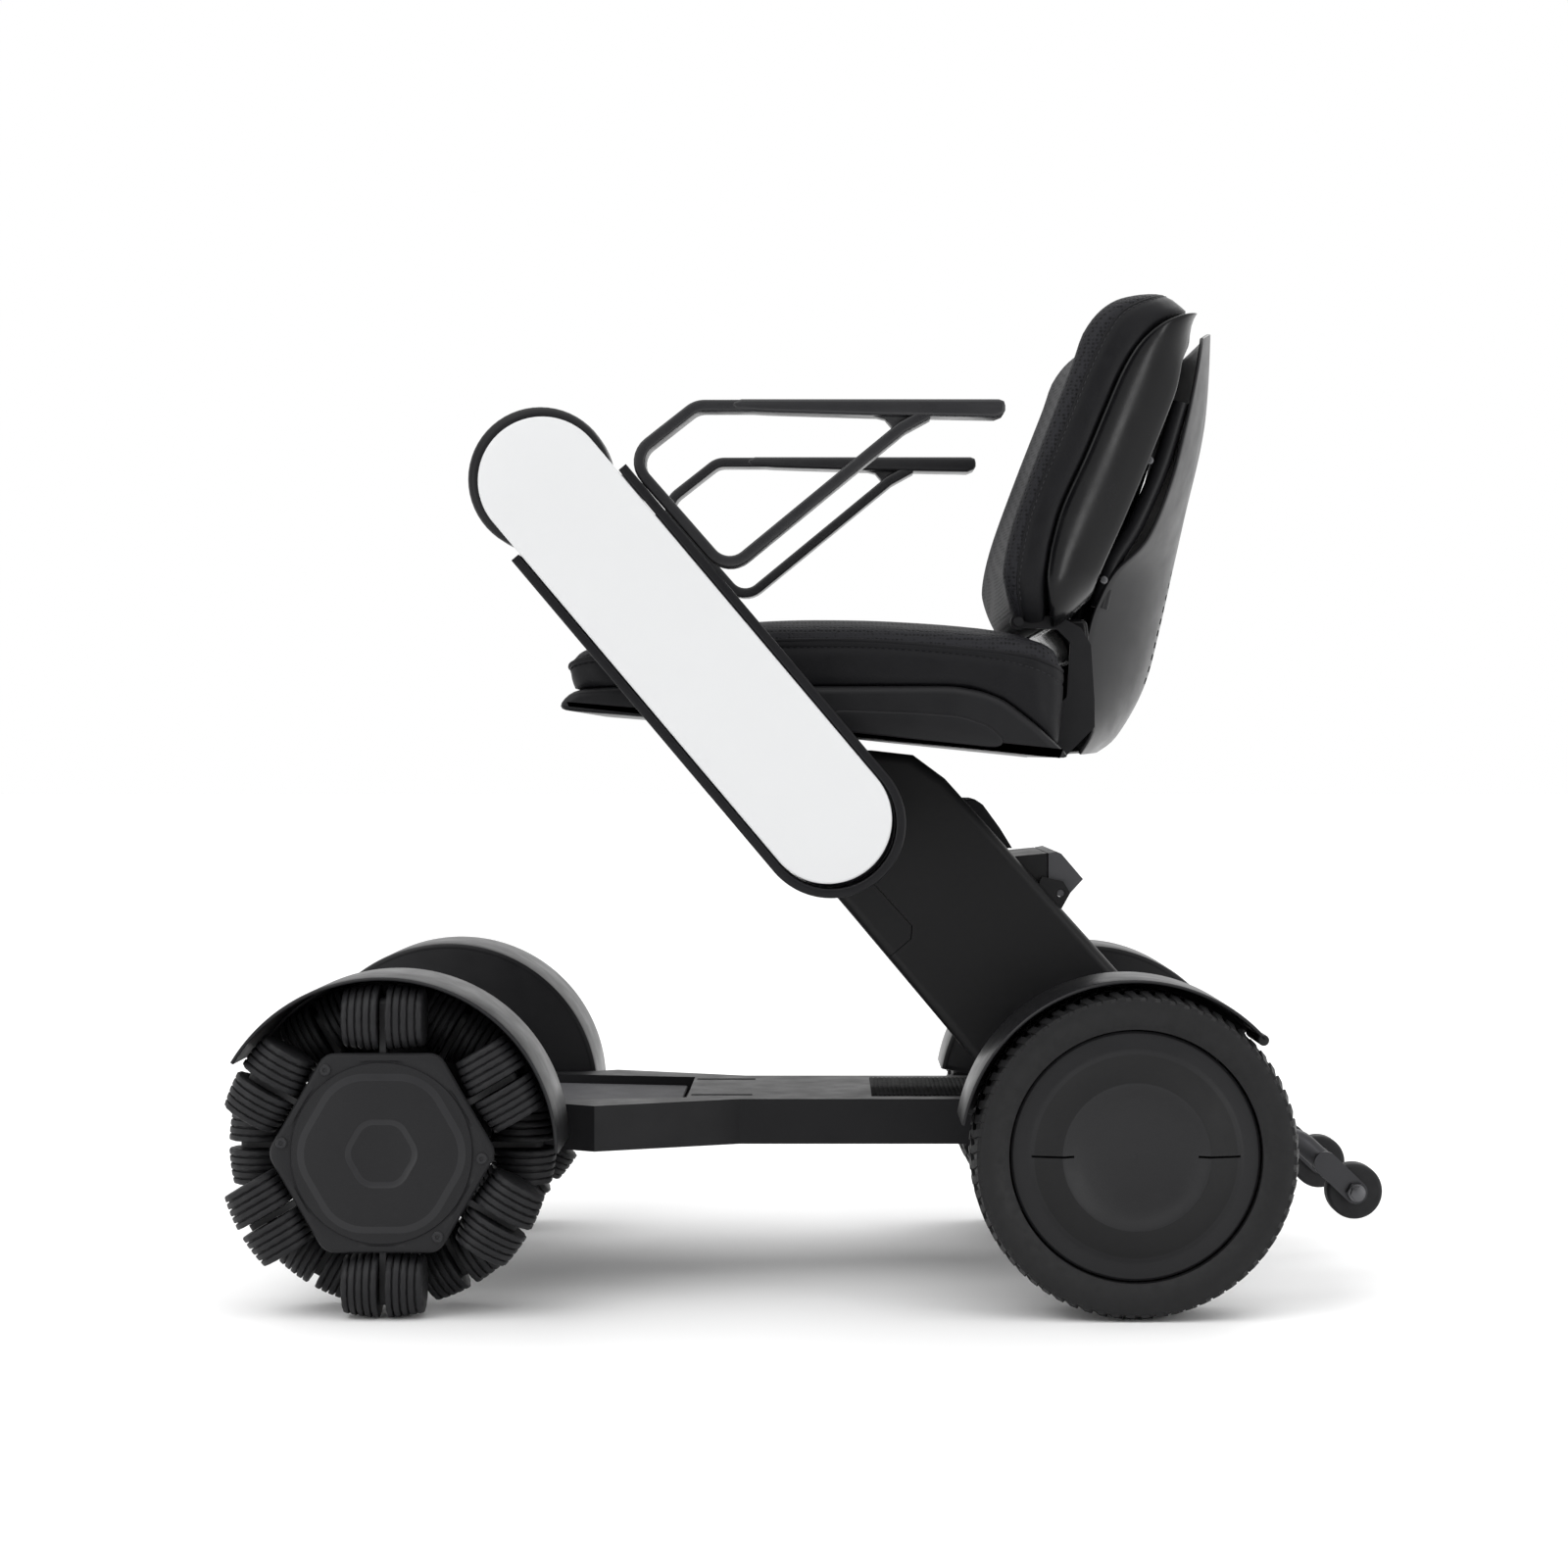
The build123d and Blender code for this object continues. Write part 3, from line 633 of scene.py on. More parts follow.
def wheel_cover(side):
    """Rim barrel, inner web and the dished disc cover with its two slits."""
    sign = SIDES[side]
    centre = REAR[side]
    low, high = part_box(f"rear_wheel_{side}")
    hub = min(abs(low.x), abs(high.x))
    barrel_and_disc = mm([
        (222, 34), (229, 60), (232, 89), (205, 93), (204, 95), (204, 99.6), (262, 99.6), (264.5, 98.6),
        (265.5, 97), (265.8, 86), (266.6, 83.4), (268.4, 80.5), (273.6, 62), (274.4, 58.5), (273.8, 56),
        (271.4, 52), (267.8, 42), (265.0, 28), (263.8, 14), (263.4, 0.3), (256.8, 0.3), (256.8, 11),
    ])
    profile = [(hub, 11 * MM), (hub, 25 * MM)] + barrel_and_disc
    disc = lathe(f"wheel_{side}", [(sign * x, r) for x, r in profile], centre, 128)
    for direction in (-1, 1):
        start = centre[0] + direction * 49 * MM
        end = centre[0] + direction * 82.5 * MM
        low, high = centre[1] - 0.9 * MM, centre[1] + 0.9 * MM
        outline = densify([(start, low), (end, low), (end, high), (start, high)], 40 * MM)
        cut_slit(disc, outline, *span(side, 262 * MM, 279 * MM))
    # the ring's faces take the darker copy (painted shade), and the dish inside it takes the lighter copy
    # (painted light)
    for face in disc.data.polygons:
        radius = math.hypot(face.center.y - centre[0], face.center.z - centre[1])
        if abs(face.center.x) > 262.6 * MM and radius < 81 * MM:
            face.material_index = 1 if radius > 57.5 * MM else 2
    return finish_piece(disc, f"rear_wheel_{side}", ["wheel", "ring", "dish"],
                        (f"rear_wheel_{side}",), smooth=22)


for side in SIDES:
    tyre(side)
    wheel_cover(side)


# ---------------------------------------------------------------- fenders
FENDER_INNER = 136.5 * MM
FENDER_OUTER = 139.5 * MM


def fender(name, side, centre, faces, angles, bead):
    """Curved sheet with a rolled outer lip, and the flat wall that carries it."""
    sign = SIDES[side]
    x_wall, x_lip = faces
    section = [
        (x_wall, FENDER_INNER - 2 * MM), (x_wall, FENDER_OUTER - 3 * MM),
        (x_wall + 1.2 * MM, FENDER_OUTER - 0.8 * MM), (x_wall + 4 * MM, FENDER_OUTER),
        (x_lip - 2.5 * MM, FENDER_OUTER), (x_lip - 0.8 * MM, FENDER_OUTER - 0.5 * MM),
        (x_lip, FENDER_OUTER - 1.6 * MM), (x_lip, FENDER_INNER + 0.6 * MM), (x_lip - 0.8 * MM, FENDER_INNER),
        (x_wall + 3 * MM, FENDER_INNER), (x_wall + 3 * MM, FENDER_INNER - 2 * MM),
    ]
    steps = 72
    first, last = angles
    rings = []
    for k in range(steps + 1):
        angle = math.radians(first + (last - first) * k / steps)
        rings.append([about_x(sign * x, centre, r, angle) for x, r in section])
    sheet = ring_skin(f"{name}_sheet_{side}", rings)
    wall_outline = arc(centre, FENDER_INNER - 1 * MM, first, last, 60) + arc(centre, 16 * MM, last, first, 24)
    wall = prism(f"{name}_wall_{side}", wall_outline, *span(side, x_wall, x_wall + 3 * MM), 0.8 * MM, steps=2)
    parts = [sheet, wall]
    if bead:
        middle = about_x(0, centre, FENDER_OUTER - 3 * MM, math.radians(first)).yz
        round_end = arc(middle, 4.4 * MM, 0, 345, 23)
        reach = span(side, x_wall + 20 * MM, x_lip)
        parts.append(prism(f"{name}_bead_{side}", round_end, *reach, 1.2 * MM, steps=3))
    return merge_pieces(f"{name}_{side}", parts)


def fenders():
    """Both pairs of fenders; the front ones also have a boss round the axle."""
    for name, centres, faces, angles, bead in (
        ("front_fender", FRONT, (162 * MM, 270 * MM), (0, 149), False),
        ("rear_fender", REAR, (171 * MM, 265 * MM), (42, 170), True),
    ):
        pair = [fender(name, side, centres[side], faces, angles, bead) for side in SIDES]
        if name == "front_fender":
            for side, sign in SIDES.items():
                boss = mm([(sign * 128, 9), (sign * 128, 22), (sign * 164, 22), (sign * 164, 9)])
                pair.append(lathe(f"fender_boss_{side}", boss, centres[side], 48))
        whole = merge_pieces(f"{name}s", pair)
        finish_piece(whole, "chassis", ["fender"], (f"{name}s",), smooth=30)


fenders()

# ---------------------------------------------------------------- side arms
ARM_PIVOT = axle("arm_left")
ARM_TOP = (-217.5 * MM, 664 * MM)
ARM_LENGTH = math.dist(ARM_PIVOT, ARM_TOP)
ALONG = ((ARM_TOP[0] - ARM_PIVOT[0]) / ARM_LENGTH, (ARM_TOP[1] - ARM_PIVOT[1]) / ARM_LENGTH)
POD = (-219.4 * MM, 665.7 * MM)
RAIL_END = 322 * MM
ARM_ANGLE = math.degrees(math.atan2(ALONG[1], ALONG[0]))
RAIL_OUTER = 59.3 * MM
RAIL_INNER = 51.8 * MM
PANEL_RADIUS = 50.9 * MM
POD_RADIUS = 57.4 * MM
ARM_FACES = (218 * MM, 264 * MM)


def on_axis(distance):
    """Point on the arm's middle line, measured up from its pivot."""
    return (ARM_PIVOT[0] + distance * ALONG[0], ARM_PIVOT[1] + distance * ALONG[1])


def offset_point(distance, offset, side_of_arm):
    """Point beside the arm's middle line: 1 is its upper rear side, -1 its lower front side."""
    y, z = on_axis(distance)
    return (y - side_of_arm * offset * ALONG[1], z + side_of_arm * offset * ALONG[0])


def stadium(low, high, radius, steps=40):
    """Outline of a bar with round ends between two distances along the arm."""
    return (arc(on_axis(high), radius, ARM_ANGLE - 90, ARM_ANGLE + 90, steps)
            + arc(on_axis(low), radius, ARM_ANGLE + 90, ARM_ANGLE + 270, steps))


def arm(side):
    """Backing shell, the U-shaped rail round the lower end and the round pod at the top."""
    inner, outer = ARM_FACES
    parts = [prism(f"arm_back_{side}", stadium(0, ARM_LENGTH, PANEL_RADIUS - 0.6 * MM),
                   *span(side, inner + 1 * MM, outer - 4 * MM), 4 * MM)]
    rail = (arc(on_axis(0), RAIL_OUTER, ARM_ANGLE + 90, ARM_ANGLE + 270, 48)
            + [offset_point(RAIL_END, RAIL_OUTER, -1), offset_point(RAIL_END, RAIL_INNER, -1)]
            + arc(on_axis(0), RAIL_INNER, ARM_ANGLE + 270, ARM_ANGLE + 90, 48)
            + [offset_point(RAIL_END, RAIL_INNER, 1), offset_point(RAIL_END, RAIL_OUTER, 1)])
    parts.append(prism(f"arm_rail_{side}", rail, *span(side, inner, outer + 1 * MM), 1.6 * MM, steps=4))
    pod = arc(POD, POD_RADIUS, 0, 354, 59)
    parts.append(prism(f"pod_{side}", pod, *span(side, inner, outer + 0.5 * MM), 7 * MM, steps=7))
    if side == "right":
        parts.append(joystick_boss())
    whole = merge_pieces(f"arm_shell_{side}", parts)
    finish_piece(whole, f"arm_{side}", ["arm"], smooth=35)
    stub = prism(f"arm_stub_{side}", arc(ARM_PIVOT, 12 * MM, 0, 350, 35),
                 *span(side, 40 * MM, inner + 2 * MM), 1 * MM, steps=2)
    finish_piece(stub, f"arm_{side}", ["steel"], (f"arm_frame_{side}",), smooth=35)


def joystick_boss():
    """Collar on the right pod, under the joystick's ball."""
    place = joint_at("joystick_pitch")
    rings = []
    for radius, height in ((17, -28), (17, -9.4), (16, -8.2), (10, -7.6)):
        level = place + Vector((0, 0, height * MM))
        rings.append(cord_ring(level, Vector((1, 0, 0)), Vector((0, 1, 0)), radius * MM, 40))
    return ring_skin("joystick_boss", rings)


def arm_panel(side):
    """White cover, slightly crowned, with a soft edge."""
    outline = stadium(4 * MM, ARM_LENGTH, PANEL_RADIUS, 48)
    low, high = span(side, ARM_FACES[1] - 5 * MM, ARM_FACES[1] + 2.4 * MM)
    sign = SIDES[side]
    rings = prism_rings(outline, low, high, 2.2 * MM, steps=5)
    if sign < 0:
        rings.reverse()
    face_x = ARM_FACES[1] + 2.4 * MM
    for depth, rise in ((6, 0.55), (12, 0.95), (20, 1.3), (30, 1.5), (42, 1.6)):
        rings.append(inset_ring(outline, sign * (face_x + rise * MM), (2.2 + depth) * MM))
    panel = ring_skin(f"white_panel_{side}", rings)
    return finish_piece(panel, f"arm_{side}", ["white"], (f"arm_panel_{side}",), smooth=40)


for side in SIDES:
    arm(side)
    arm_panel(side)


# ---------------------------------------------------------------- armrest loops
def tube_path(points, radius_in, steps=8):
    """Open path in the side view with its corners rounded."""
    path = [points[0]]
    for before, corner, after in zip(points, points[1:], points[2:]):
        a = Vector((before[0] - corner[0], before[1] - corner[1])).normalized()
        b = Vector((after[0] - corner[0], after[1] - corner[1])).normalized()
        half = a.angle(b) / 2
        shorter = min(math.dist(before, corner), math.dist(after, corner))
        reach = min(radius_in / math.tan(half), 0.45 * shorter)
        radius = reach * math.tan(half)
        middle = (a + b).normalized() * (radius / math.sin(half))
        centre = Vector(corner) + middle
        start = Vector(corner) + a * reach - centre
        turn = a.cross(b)
        total = math.pi - 2 * half
        for k in range(steps + 1):
            angle = total * k / steps * (1 if turn < 0 else -1)
            c, s = math.cos(angle), math.sin(angle)
            path.append((centre.x + start.x * c - start.y * s, centre.y + start.x * s + start.y * c))
    path.append(points[-1])
    return path


def strap(name, path, thick, x0, x1, edge):
    """Bar of rectangular section with soft edges that follows a path in the side view."""
    normals = []
    for i in range(len(path)):
        ay, az = path[max(0, i - 1)]
        by, bz = path[min(len(path) - 1, i + 1)]
        length = math.hypot(by - ay, bz - az)
        normals.append((-(bz - az) / length, (by - ay) / length))
    half_x = (x1 - x0) / 2
    mid_x = (x0 + x1) / 2
    section = []
    for quarter, (sx, sn) in enumerate(((1, -1), (1, 1), (-1, 1), (-1, -1))):
        for k in range(4):
            angle = math.radians(90 * quarter - 90 + 30 * k)
            section.append((mid_x + sx * (half_x - edge) + edge * math.cos(angle),
                            sn * (thick / 2 - edge) + edge * math.sin(angle)))
    rings = [[Vector((x, y + n * ny, z + n * nz)) for x, n in section]
             for (y, z), (ny, nz) in zip(path, normals)]
    return ring_skin(name, rings)


def armrest(side):
    """Bent bar that leaves the arm and comes back to it, its pad and the gusset where they meet."""
    low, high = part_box(f"armrest_{side}")
    x0, x1 = low.x, high.x
    top = high.z
    rear = high.y
    bar = 9 * MM
    half = bar / 2

    def below_top(points, start=0.0):
        return [(start + y * MM, top - drop * MM) for y, drop in points]

    lower = offset_point(207 * MM, RAIL_OUTER + half, -1)
    loop = [
        (-20 * MM, top - half - 0.4 * MM), (-96 * MM, top - half - 0.5 * MM),
        offset_point(325 * MM, RAIL_OUTER + half, -1), (lower[0] + 2 * MM, lower[1] + 1 * MM),
        *below_top([(67, 22.5), (88, 11)]),
    ]
    frame_bar = strap(f"rest_loop_{side}", tube_path(loop, 19 * MM), bar, x0, x1, 1.6 * MM)
    pad_outline = (below_top([(-68, 5), (-66, 1.5), (-60, 0)])
                   + below_top([(-5, 0), (-1, 1.5), (0, 5), (0, 9), (-2, 12), (-8, 14.4)], rear)
                   + below_top([(40, 12.6), (-40, 10.2), (-64, 8.6)]))
    pad_outline = densify(pad_outline, 12 * MM)
    pad = prism(f"rest_pad_{side}", pad_outline, x0 - 0.6 * MM, x1 + 0.6 * MM, 2.6 * MM, steps=4)
    corner = densify(below_top([(42, 12), (92, 12), (74, 22), (60, 30), (59, 21), (54, 15)]), 10 * MM)
    gusset = prism(f"rest_gusset_{side}", corner, x0 + 6 * MM, x1 - 6 * MM, 1.5 * MM, steps=2)
    whole = merge_pieces(f"armrest_loop_{side}", [frame_bar, pad, gusset])
    return finish_piece(whole, f"arm_{side}", ["armrest"], (f"armrest_{side}",), smooth=35)


for side in SIDES:
    armrest(side)


# ---------------------------------------------------------------- cushions, shell and pan
def smooth_curve(points, steps=12):
    """Even parameter 0..1 along a spline through side-view points."""
    dense = []
    last = len(points) - 1
    for i in range(last):
        p0 = Vector(points[max(0, i - 1)])
        p1 = Vector(points[i])
        p2 = Vector(points[i + 1])
        p3 = Vector(points[min(last, i + 2)])
        for k in range(steps):
            t = k / steps
            dense.append(0.5 * (2 * p1 + (p2 - p0) * t + (2 * p0 - 5 * p1 + 4 * p2 - p3) * t * t
                                + (3 * p1 - p0 - 3 * p2 + p3) * t ** 3))
    dense.append(Vector(points[-1]))
    reach = [0.0]
    for a, b in zip(dense, dense[1:]):
        reach.append(reach[-1] + (b - a).length)

    def at(t):
        want = max(0.0, min(1.0, t)) * reach[-1]
        low = min(bisect.bisect_right(reach, want) - 1, len(reach) - 2)
        high = low + 1
        part = (want - reach[low]) / max(1e-9, reach[high] - reach[low])
        point = dense[low].lerp(dense[high], part)
        return Vector((point.x * MM, point.y * MM))

    return at


def rounded_outline(half_x, half_s, corner, inset, per_corner=14, along=24):
    """Rounded rectangle in (x, s), always with the same number of points."""
    hx = max(half_x - inset, 0.5)
    hs = max(half_s - inset, 0.5)
    r = min(max(corner - 0.55 * inset, 3.0), hx, hs)

    def on_corner(quarter, part):
        sx, ss = ((1, 1), (-1, 1), (-1, -1), (1, -1))[quarter]
        angle = math.radians(90 * (quarter + part))
        return (sx * (hx - r) + r * math.cos(angle), ss * (hs - r) + r * math.sin(angle))

    points = []
    for quarter in range(4):
        points += [on_corner(quarter, k / per_corner) for k in range(per_corner + 1)]
        x, s = points[-1]
        next_x, next_s = on_corner((quarter + 1) % 4, 0)
        points += [(x + (next_x - x) * k / along, s + (next_s - s) * k / along) for k in range(1, along)]
    return points


def layered(half_x, length, corner, levels, swell=None):
    """Rings of a padded form. Each level is (inset, lower curve, upper curve, mix)."""
    rings = []
    for inset, lower, upper, mix in levels:
        ring = []
        for x, s in rounded_outline(half_x, length / 2, corner, inset):
            t = s / length + 0.5
            low = lower(t)
            point = low + (upper(t) - low) * mix
            place = Vector((x * MM, point.x, point.y))
            ring.append(swell(place, x / half_x, t, inset) if swell else place)
        rings.append(ring)
    return rings


def two_cloths(name, rings, seam_ring):
    """Piece over rings that changes its material slot at the seam ring."""
    verts, faces = ring_stack(rings)
    count = len(rings[0])
    slots = [0 if i // count < seam_ring else 1 for i in range(len(faces) - 2)] + [0, 1]
    return new_piece(name, verts, faces, slots)


def closed_tube(name, path, radius, sides=8):
    """Round cord along a closed 3-D path."""
    rings = []
    count = len(path)
    middle = sum(path, Vector()) / count
    for i, point in enumerate(path):
        ahead = (path[(i + 1) % count] - path[i - 1]).normalized()
        out = (point - middle) - ahead * (point - middle).dot(ahead)
        out.normalize()
        up = ahead.cross(out)
        rings.append(cord_ring(point, out, up, radius, sides))
    return ring_loop(name, rings)


def open_tube(name, points, radius, sides=20):
    """Round bar along an open 3-D path."""
    rings = []
    for i, point in enumerate(points):
        ahead = (points[min(i + 1, len(points) - 1)] - points[max(i - 1, 0)]).normalized()
        out = ahead.cross(Vector((1, 0, 0))).normalized()
        up = ahead.cross(out)
        rings.append(cord_ring(point, out, up, radius, sides))
    return ring_skin(name, rings)


def stitches(name, path, lowest, pitch=5.5 * MM, long=3.4 * MM, radius=0.55 * MM):
    """Row of short thread stitches along the part of a closed path above a height."""
    verts, faces = [], []
    travelled = 0.0
    want = 0.0
    count = len(path)
    middle = sum(path, Vector()) / count
    for i in range(count):
        a, b = path[i], path[(i + 1) % count]
        gap = (b - a).length
        while want < travelled + gap:
            place = a.lerp(b, (want - travelled) / gap)
            want += pitch
            if place.z < lowest:
                continue
            ahead = (b - a).normalized()
            out = ((place - middle) - ahead * (place - middle).dot(ahead)).normalized()
            up = ahead.cross(out)
            rings = [cord_ring(place + ahead * shift * long, out, up, radius * grow, 5)
                     for shift, grow in ((-0.5, 0.35), (-0.25, 1), (0.25, 1), (0.5, 0.35))]
            stitch_verts, stitch_faces = ring_stack(rings)
            faces += [tuple(i + len(verts) for i in face) for face in stitch_faces]
            verts += stitch_verts
        travelled += gap
    return new_piece(name, verts, faces)


def inflate(obj, limit, keep):
    """Short cloth run with air pressure; the points in keep are held and none moves past limit."""
    frames = 20
    scene = bpy.context.scene
    held = obj.vertex_groups.new(name="held")
    held.add(keep, 1.0, "REPLACE")
    cloth = obj.modifiers.new("cloth", "CLOTH")
    cloth.settings.quality = 6
    cloth.settings.mass = 0.25
    cloth.settings.tension_stiffness = 18
    cloth.settings.compression_stiffness = 18
    cloth.settings.bending_stiffness = 1.2
    cloth.settings.use_pressure = True
    cloth.settings.uniform_pressure_force = 4
    cloth.settings.vertex_group_mass = held.name
    cloth.settings.effector_weights.gravity = 0
    cloth.collision_settings.use_self_collision = False
    cloth.point_cache.frame_start = 1
    cloth.point_cache.frame_end = frames
    before = [v.co.copy() for v in obj.data.vertices]
    for step in range(1, frames + 1):
        scene.frame_set(step)
    settled = obj.evaluated_get(bpy.context.evaluated_depsgraph_get())
    after = [v.co.copy() for v in settled.data.vertices]
    obj.modifiers.remove(cloth)
    scene.frame_set(1)
    for vert, old, new in zip(obj.data.vertices, before, after):
        move = new - old
        if move.length > limit:
            move = move.normalized() * limit
        vert.co = old + move
    obj.vertex_groups.clear()


def crown_levels(lower, upper, start, radius, steps, insets):
    """Quarter-round from the seam to the face, then flat rings towards the middle."""
    levels = []
    for k in range(1, steps + 1):
        angle = math.pi / 2 * k / steps
        levels.append((start + radius * (1 - math.cos(angle)), lower, upper, math.sin(angle)))
    return levels + [(start + (radius + inset), lower, upper, 1.0) for inset in insets]


def upholstery(name, body, rings, seam_ring, limit, welt_radius, stitch_ring, lowest):
    """Two-cloth pad with a welt on its seam and a row of stitches. Returns the pad."""
    pad = two_cloths(f"{name}_pad", rings, seam_ring)
    inflate(pad, limit, list(range(len(rings[0]) * (seam_ring + 1))))
    finish_piece(pad, body, ["border", "seat_mesh"], (f"{name}_cushion",), smooth=75)
    finish_piece(closed_tube(f"{name}_welt", rings[seam_ring], welt_radius), body, ["border"])
    finish_piece(stitches(f"{name}_stitches", rings[stitch_ring], lowest), body, ["thread"])
    return pad


def seat_cushion():
    """Crowned seat pad with a grooved border."""
    top = smooth_curve([(-203, 522), (-190, 535), (-120, 546), (-42.8, 553.3), (28.1, 554.2),
                        (90, 551.5), (143.3, 547), (170, 543.5), (194.7, 534.8), (203, 522)])
    seam = smooth_curve([(-203, 516), (-192, 525), (-110, 536), (-32, 540), (42, 540), (117, 533.8),
                         (170, 527.6), (203.2, 515)])
    base = smooth_curve([(-199, 500.4), (-162, 503), (0, 503.4), (109.5, 503.8), (134, 499.4), (152, 492.4),
                         (177, 473), (198, 454)])
    levels = [(inset, base, seam, mix) for inset, mix in (
        (3, 0.0), (0.6, 0.06), (0, 0.3), (-0.4, 0.6), (0.2, 0.8), (1.3, 0.835), (0.2, 0.87), (0.8, 0.96),
        (2.0, 1.0))]
    seam_ring = len(levels) - 1
    levels += crown_levels(seam, top, 1.0, 15, 7, (8, 18, 30, 44, 60, 78, 98, 120, 144, 168, 178))

    def swell(place, across, t, inset):
        if inset > 12:
            place.z += 3.2 * MM * min(1.0, (inset - 12) / 60)
        return place

    rings = layered(200, 404, 30, levels, swell)
    pad = upholstery("seat", "chassis", rings, seam_ring, 2.2 * MM, 1.5 * MM, 5, 0.46)


def back_cushion():
    """Back pad, hollowed across its face."""
    front = smooth_curve([(166, 549), (154, 585), (152.7, 605), (161.4, 642.4), (183, 702), (207.5, 764.5),
                          (220, 797), (243, 820), (284, 833)])
    seam = smooth_curve([(172, 551), (164, 582.5), (165.5, 604), (170.5, 631.2), (179.6, 660.4),
                         (203.2, 716.7), (222.4, 763.8), (237, 793), (253, 812), (290, 829)])
    rear = smooth_curve([(188, 551.5), (185.8, 587.4), (187.4, 608.9), (190.6, 624.5), (198.6, 651.6),
                         (217.7, 693), (234.5, 732.9), (248, 763.2), (262, 784.8), (280, 802), (309, 815)])
    levels = [(inset, rear, seam, mix) for inset, mix in (
        (2.6, 0.0), (0.7, 0.1), (0, 0.35), (-0.3, 0.7), (0.8, 0.94), (2.2, 1.0))]
    seam_ring = len(levels) - 1
    levels += crown_levels(seam, front, 1.2, 15, 6, (6, 14, 24, 36, 50, 66, 84, 104, 124, 146, 166))

    def swell(place, across, t, inset):
        if inset > 14:
            along = math.sin(math.pi * min(1.0, max(0.0, t))) ** 0.6
            hollow = 13 * MM * (1 - min(1.0, abs(across)) ** 2) * along
            place.y += hollow * min(1.0, (inset - 14) / 20)
        return place

    rings = layered(189, 294, 56, levels, swell)
    pad = upholstery("back", "backrest", rings, seam_ring, 2.0 * MM, 1.4 * MM, 4, 0.575)


def back_shell():
    """Gloss shell behind the back pad, and the skirt below it."""
    groove = smooth_curve([(193, 551.5), (187.6, 587.4), (189.2, 608.9), (192.4, 624.5), (200.4, 651.6),
                           (219.5, 693), (236.3, 732.9), (249.8, 763.2), (263.8, 784.8), (282, 800),
                           (299, 808), (314, 812.5)])
    rear = smooth_curve([(222, 551), (231, 590), (253, 640), (274, 690), (294, 741), (298.5, 757),
                         (302, 773.7), (311, 792), (321, 812)])
    levels = [(inset, groove, rear, mix) for inset, mix in (
        (4, 0.0), (1.6, 0.0), (0.5, 0.015), (0, 0.05), (0.3, 0.12), (2.5, 0.28), (7, 0.48), (13.5, 0.68),
        (21, 0.86), (26, 0.965), (28.5, 0.993), (32, 1.0), (60, 1.0), (110, 1.0), (150, 1.0))]
    shell = ring_skin("gloss_shell", layered(190, 296, 44, levels))
    finish_piece(shell, "backrest", ["shell"], ("back_shell",), smooth=60)
    skirt = softened([(192, 560), (224, 560), (226, 538), (222, 527), (213, 523), (208, 527), (206.8, 540),
                      (195, 551)], 3 * MM, 3)
    lower = prism("shell_skirt", skirt, -145 * MM, 145 * MM, 4 * MM)
    finish_piece(lower, "backrest", ["shell"], smooth=60)


def seat_pan():
    """Tray under the seat pad, with a raised ridge on each flank."""
    outline = softened([(-198, 500), (-162, 502.6), (109.5, 503.3), (134, 499), (152, 492), (177, 472.5),
                        (198, 453), (206.7, 444), (190, 445.2), (90, 456), (35, 462), (-143, 478),
                        (-196, 482.3), (-209, 483.6), (-210.8, 486), (-206, 493)], 5 * MM, 3)
    ridge = softened([(12, 484), (81, 481.4), (116.5, 478.7), (139.6, 470.8), (153.7, 458.4), (150, 452.4),
                      (90, 458.6), (35, 464.5), (14, 466.5)], 5 * MM, 2)
    parts = [prism("pan_body", outline, -205 * MM, 205 * MM, 7 * MM, steps=6, spans=4)]
    for side in SIDES:
        parts.append(prism(f"pan_ridge_{side}", ridge, *span(side, 198 * MM, 206.6 * MM), 1.6 * MM, steps=3))
    whole = merge_pieces("pan_shell", parts)
    finish_piece(whole, "chassis", ["pan"], ("seat_pan",), smooth=40)


def rear_panel():
    """Curved sheet with rows of paired slots low down."""
    edge = smooth_curve([(220, 448), (229.8, 469.5), (222.4, 494), (221.2, 519.4), (226.5, 552),
                         (233.9, 574.2), (247.8, 599.6), (274.8, 627.4), (294.4, 674), (306.7, 720.6),
                         (315, 758), (323, 797.6)])
    centre = smooth_curve([(242, 450), (260, 464.5), (283.2, 505), (297.5, 557), (317.6, 650),
                           (335.3, 731.8), (340, 812)])
    rows, columns = 72, 52
    width = columns + 1
    verts, faces = [], []
    for r in range(rows + 1):
        t = r / rows
        half = 130 * (1 - 0.16 * abs(2 * t - 1) ** 7)
        a, b = edge(t), centre(t)
        for c in range(width):
            u = 2 * c / columns - 1
            q = u * u
            verts.append((u * half * MM, b.x + (a.x - b.x) * q, b.y + (a.y - b.y) * q))
    for r in range(rows):
        middle = r * width + columns // 2
        height = (verts[middle][2] + verts[middle + width][2]) / 2
        for c in range(columns):
            across = abs(2 * (c + 0.5) / columns - 1) * 130
            slot = 508 * MM < height < 612 * MM and r % 2 == 0 and 9 < across < 31
            if not slot:
                v = r * width + c
                faces.append((v, v + 1, v + width + 1, v + width))
    sheet = new_piece("rear_cover", verts, faces)
    thick = sheet.modifiers.new("thick", "SOLIDIFY")
    thick.thickness = 3 * MM
    thick.offset = 0
    edges = sheet.modifiers.new("edges", "BEVEL")
    edges.width = 0.7 * MM
    edges.segments = 2
    edges.angle_limit = math.radians(50)
    finish_piece(sheet, "backrest", ["rear_panel"], ("back_panel",), smooth=50)


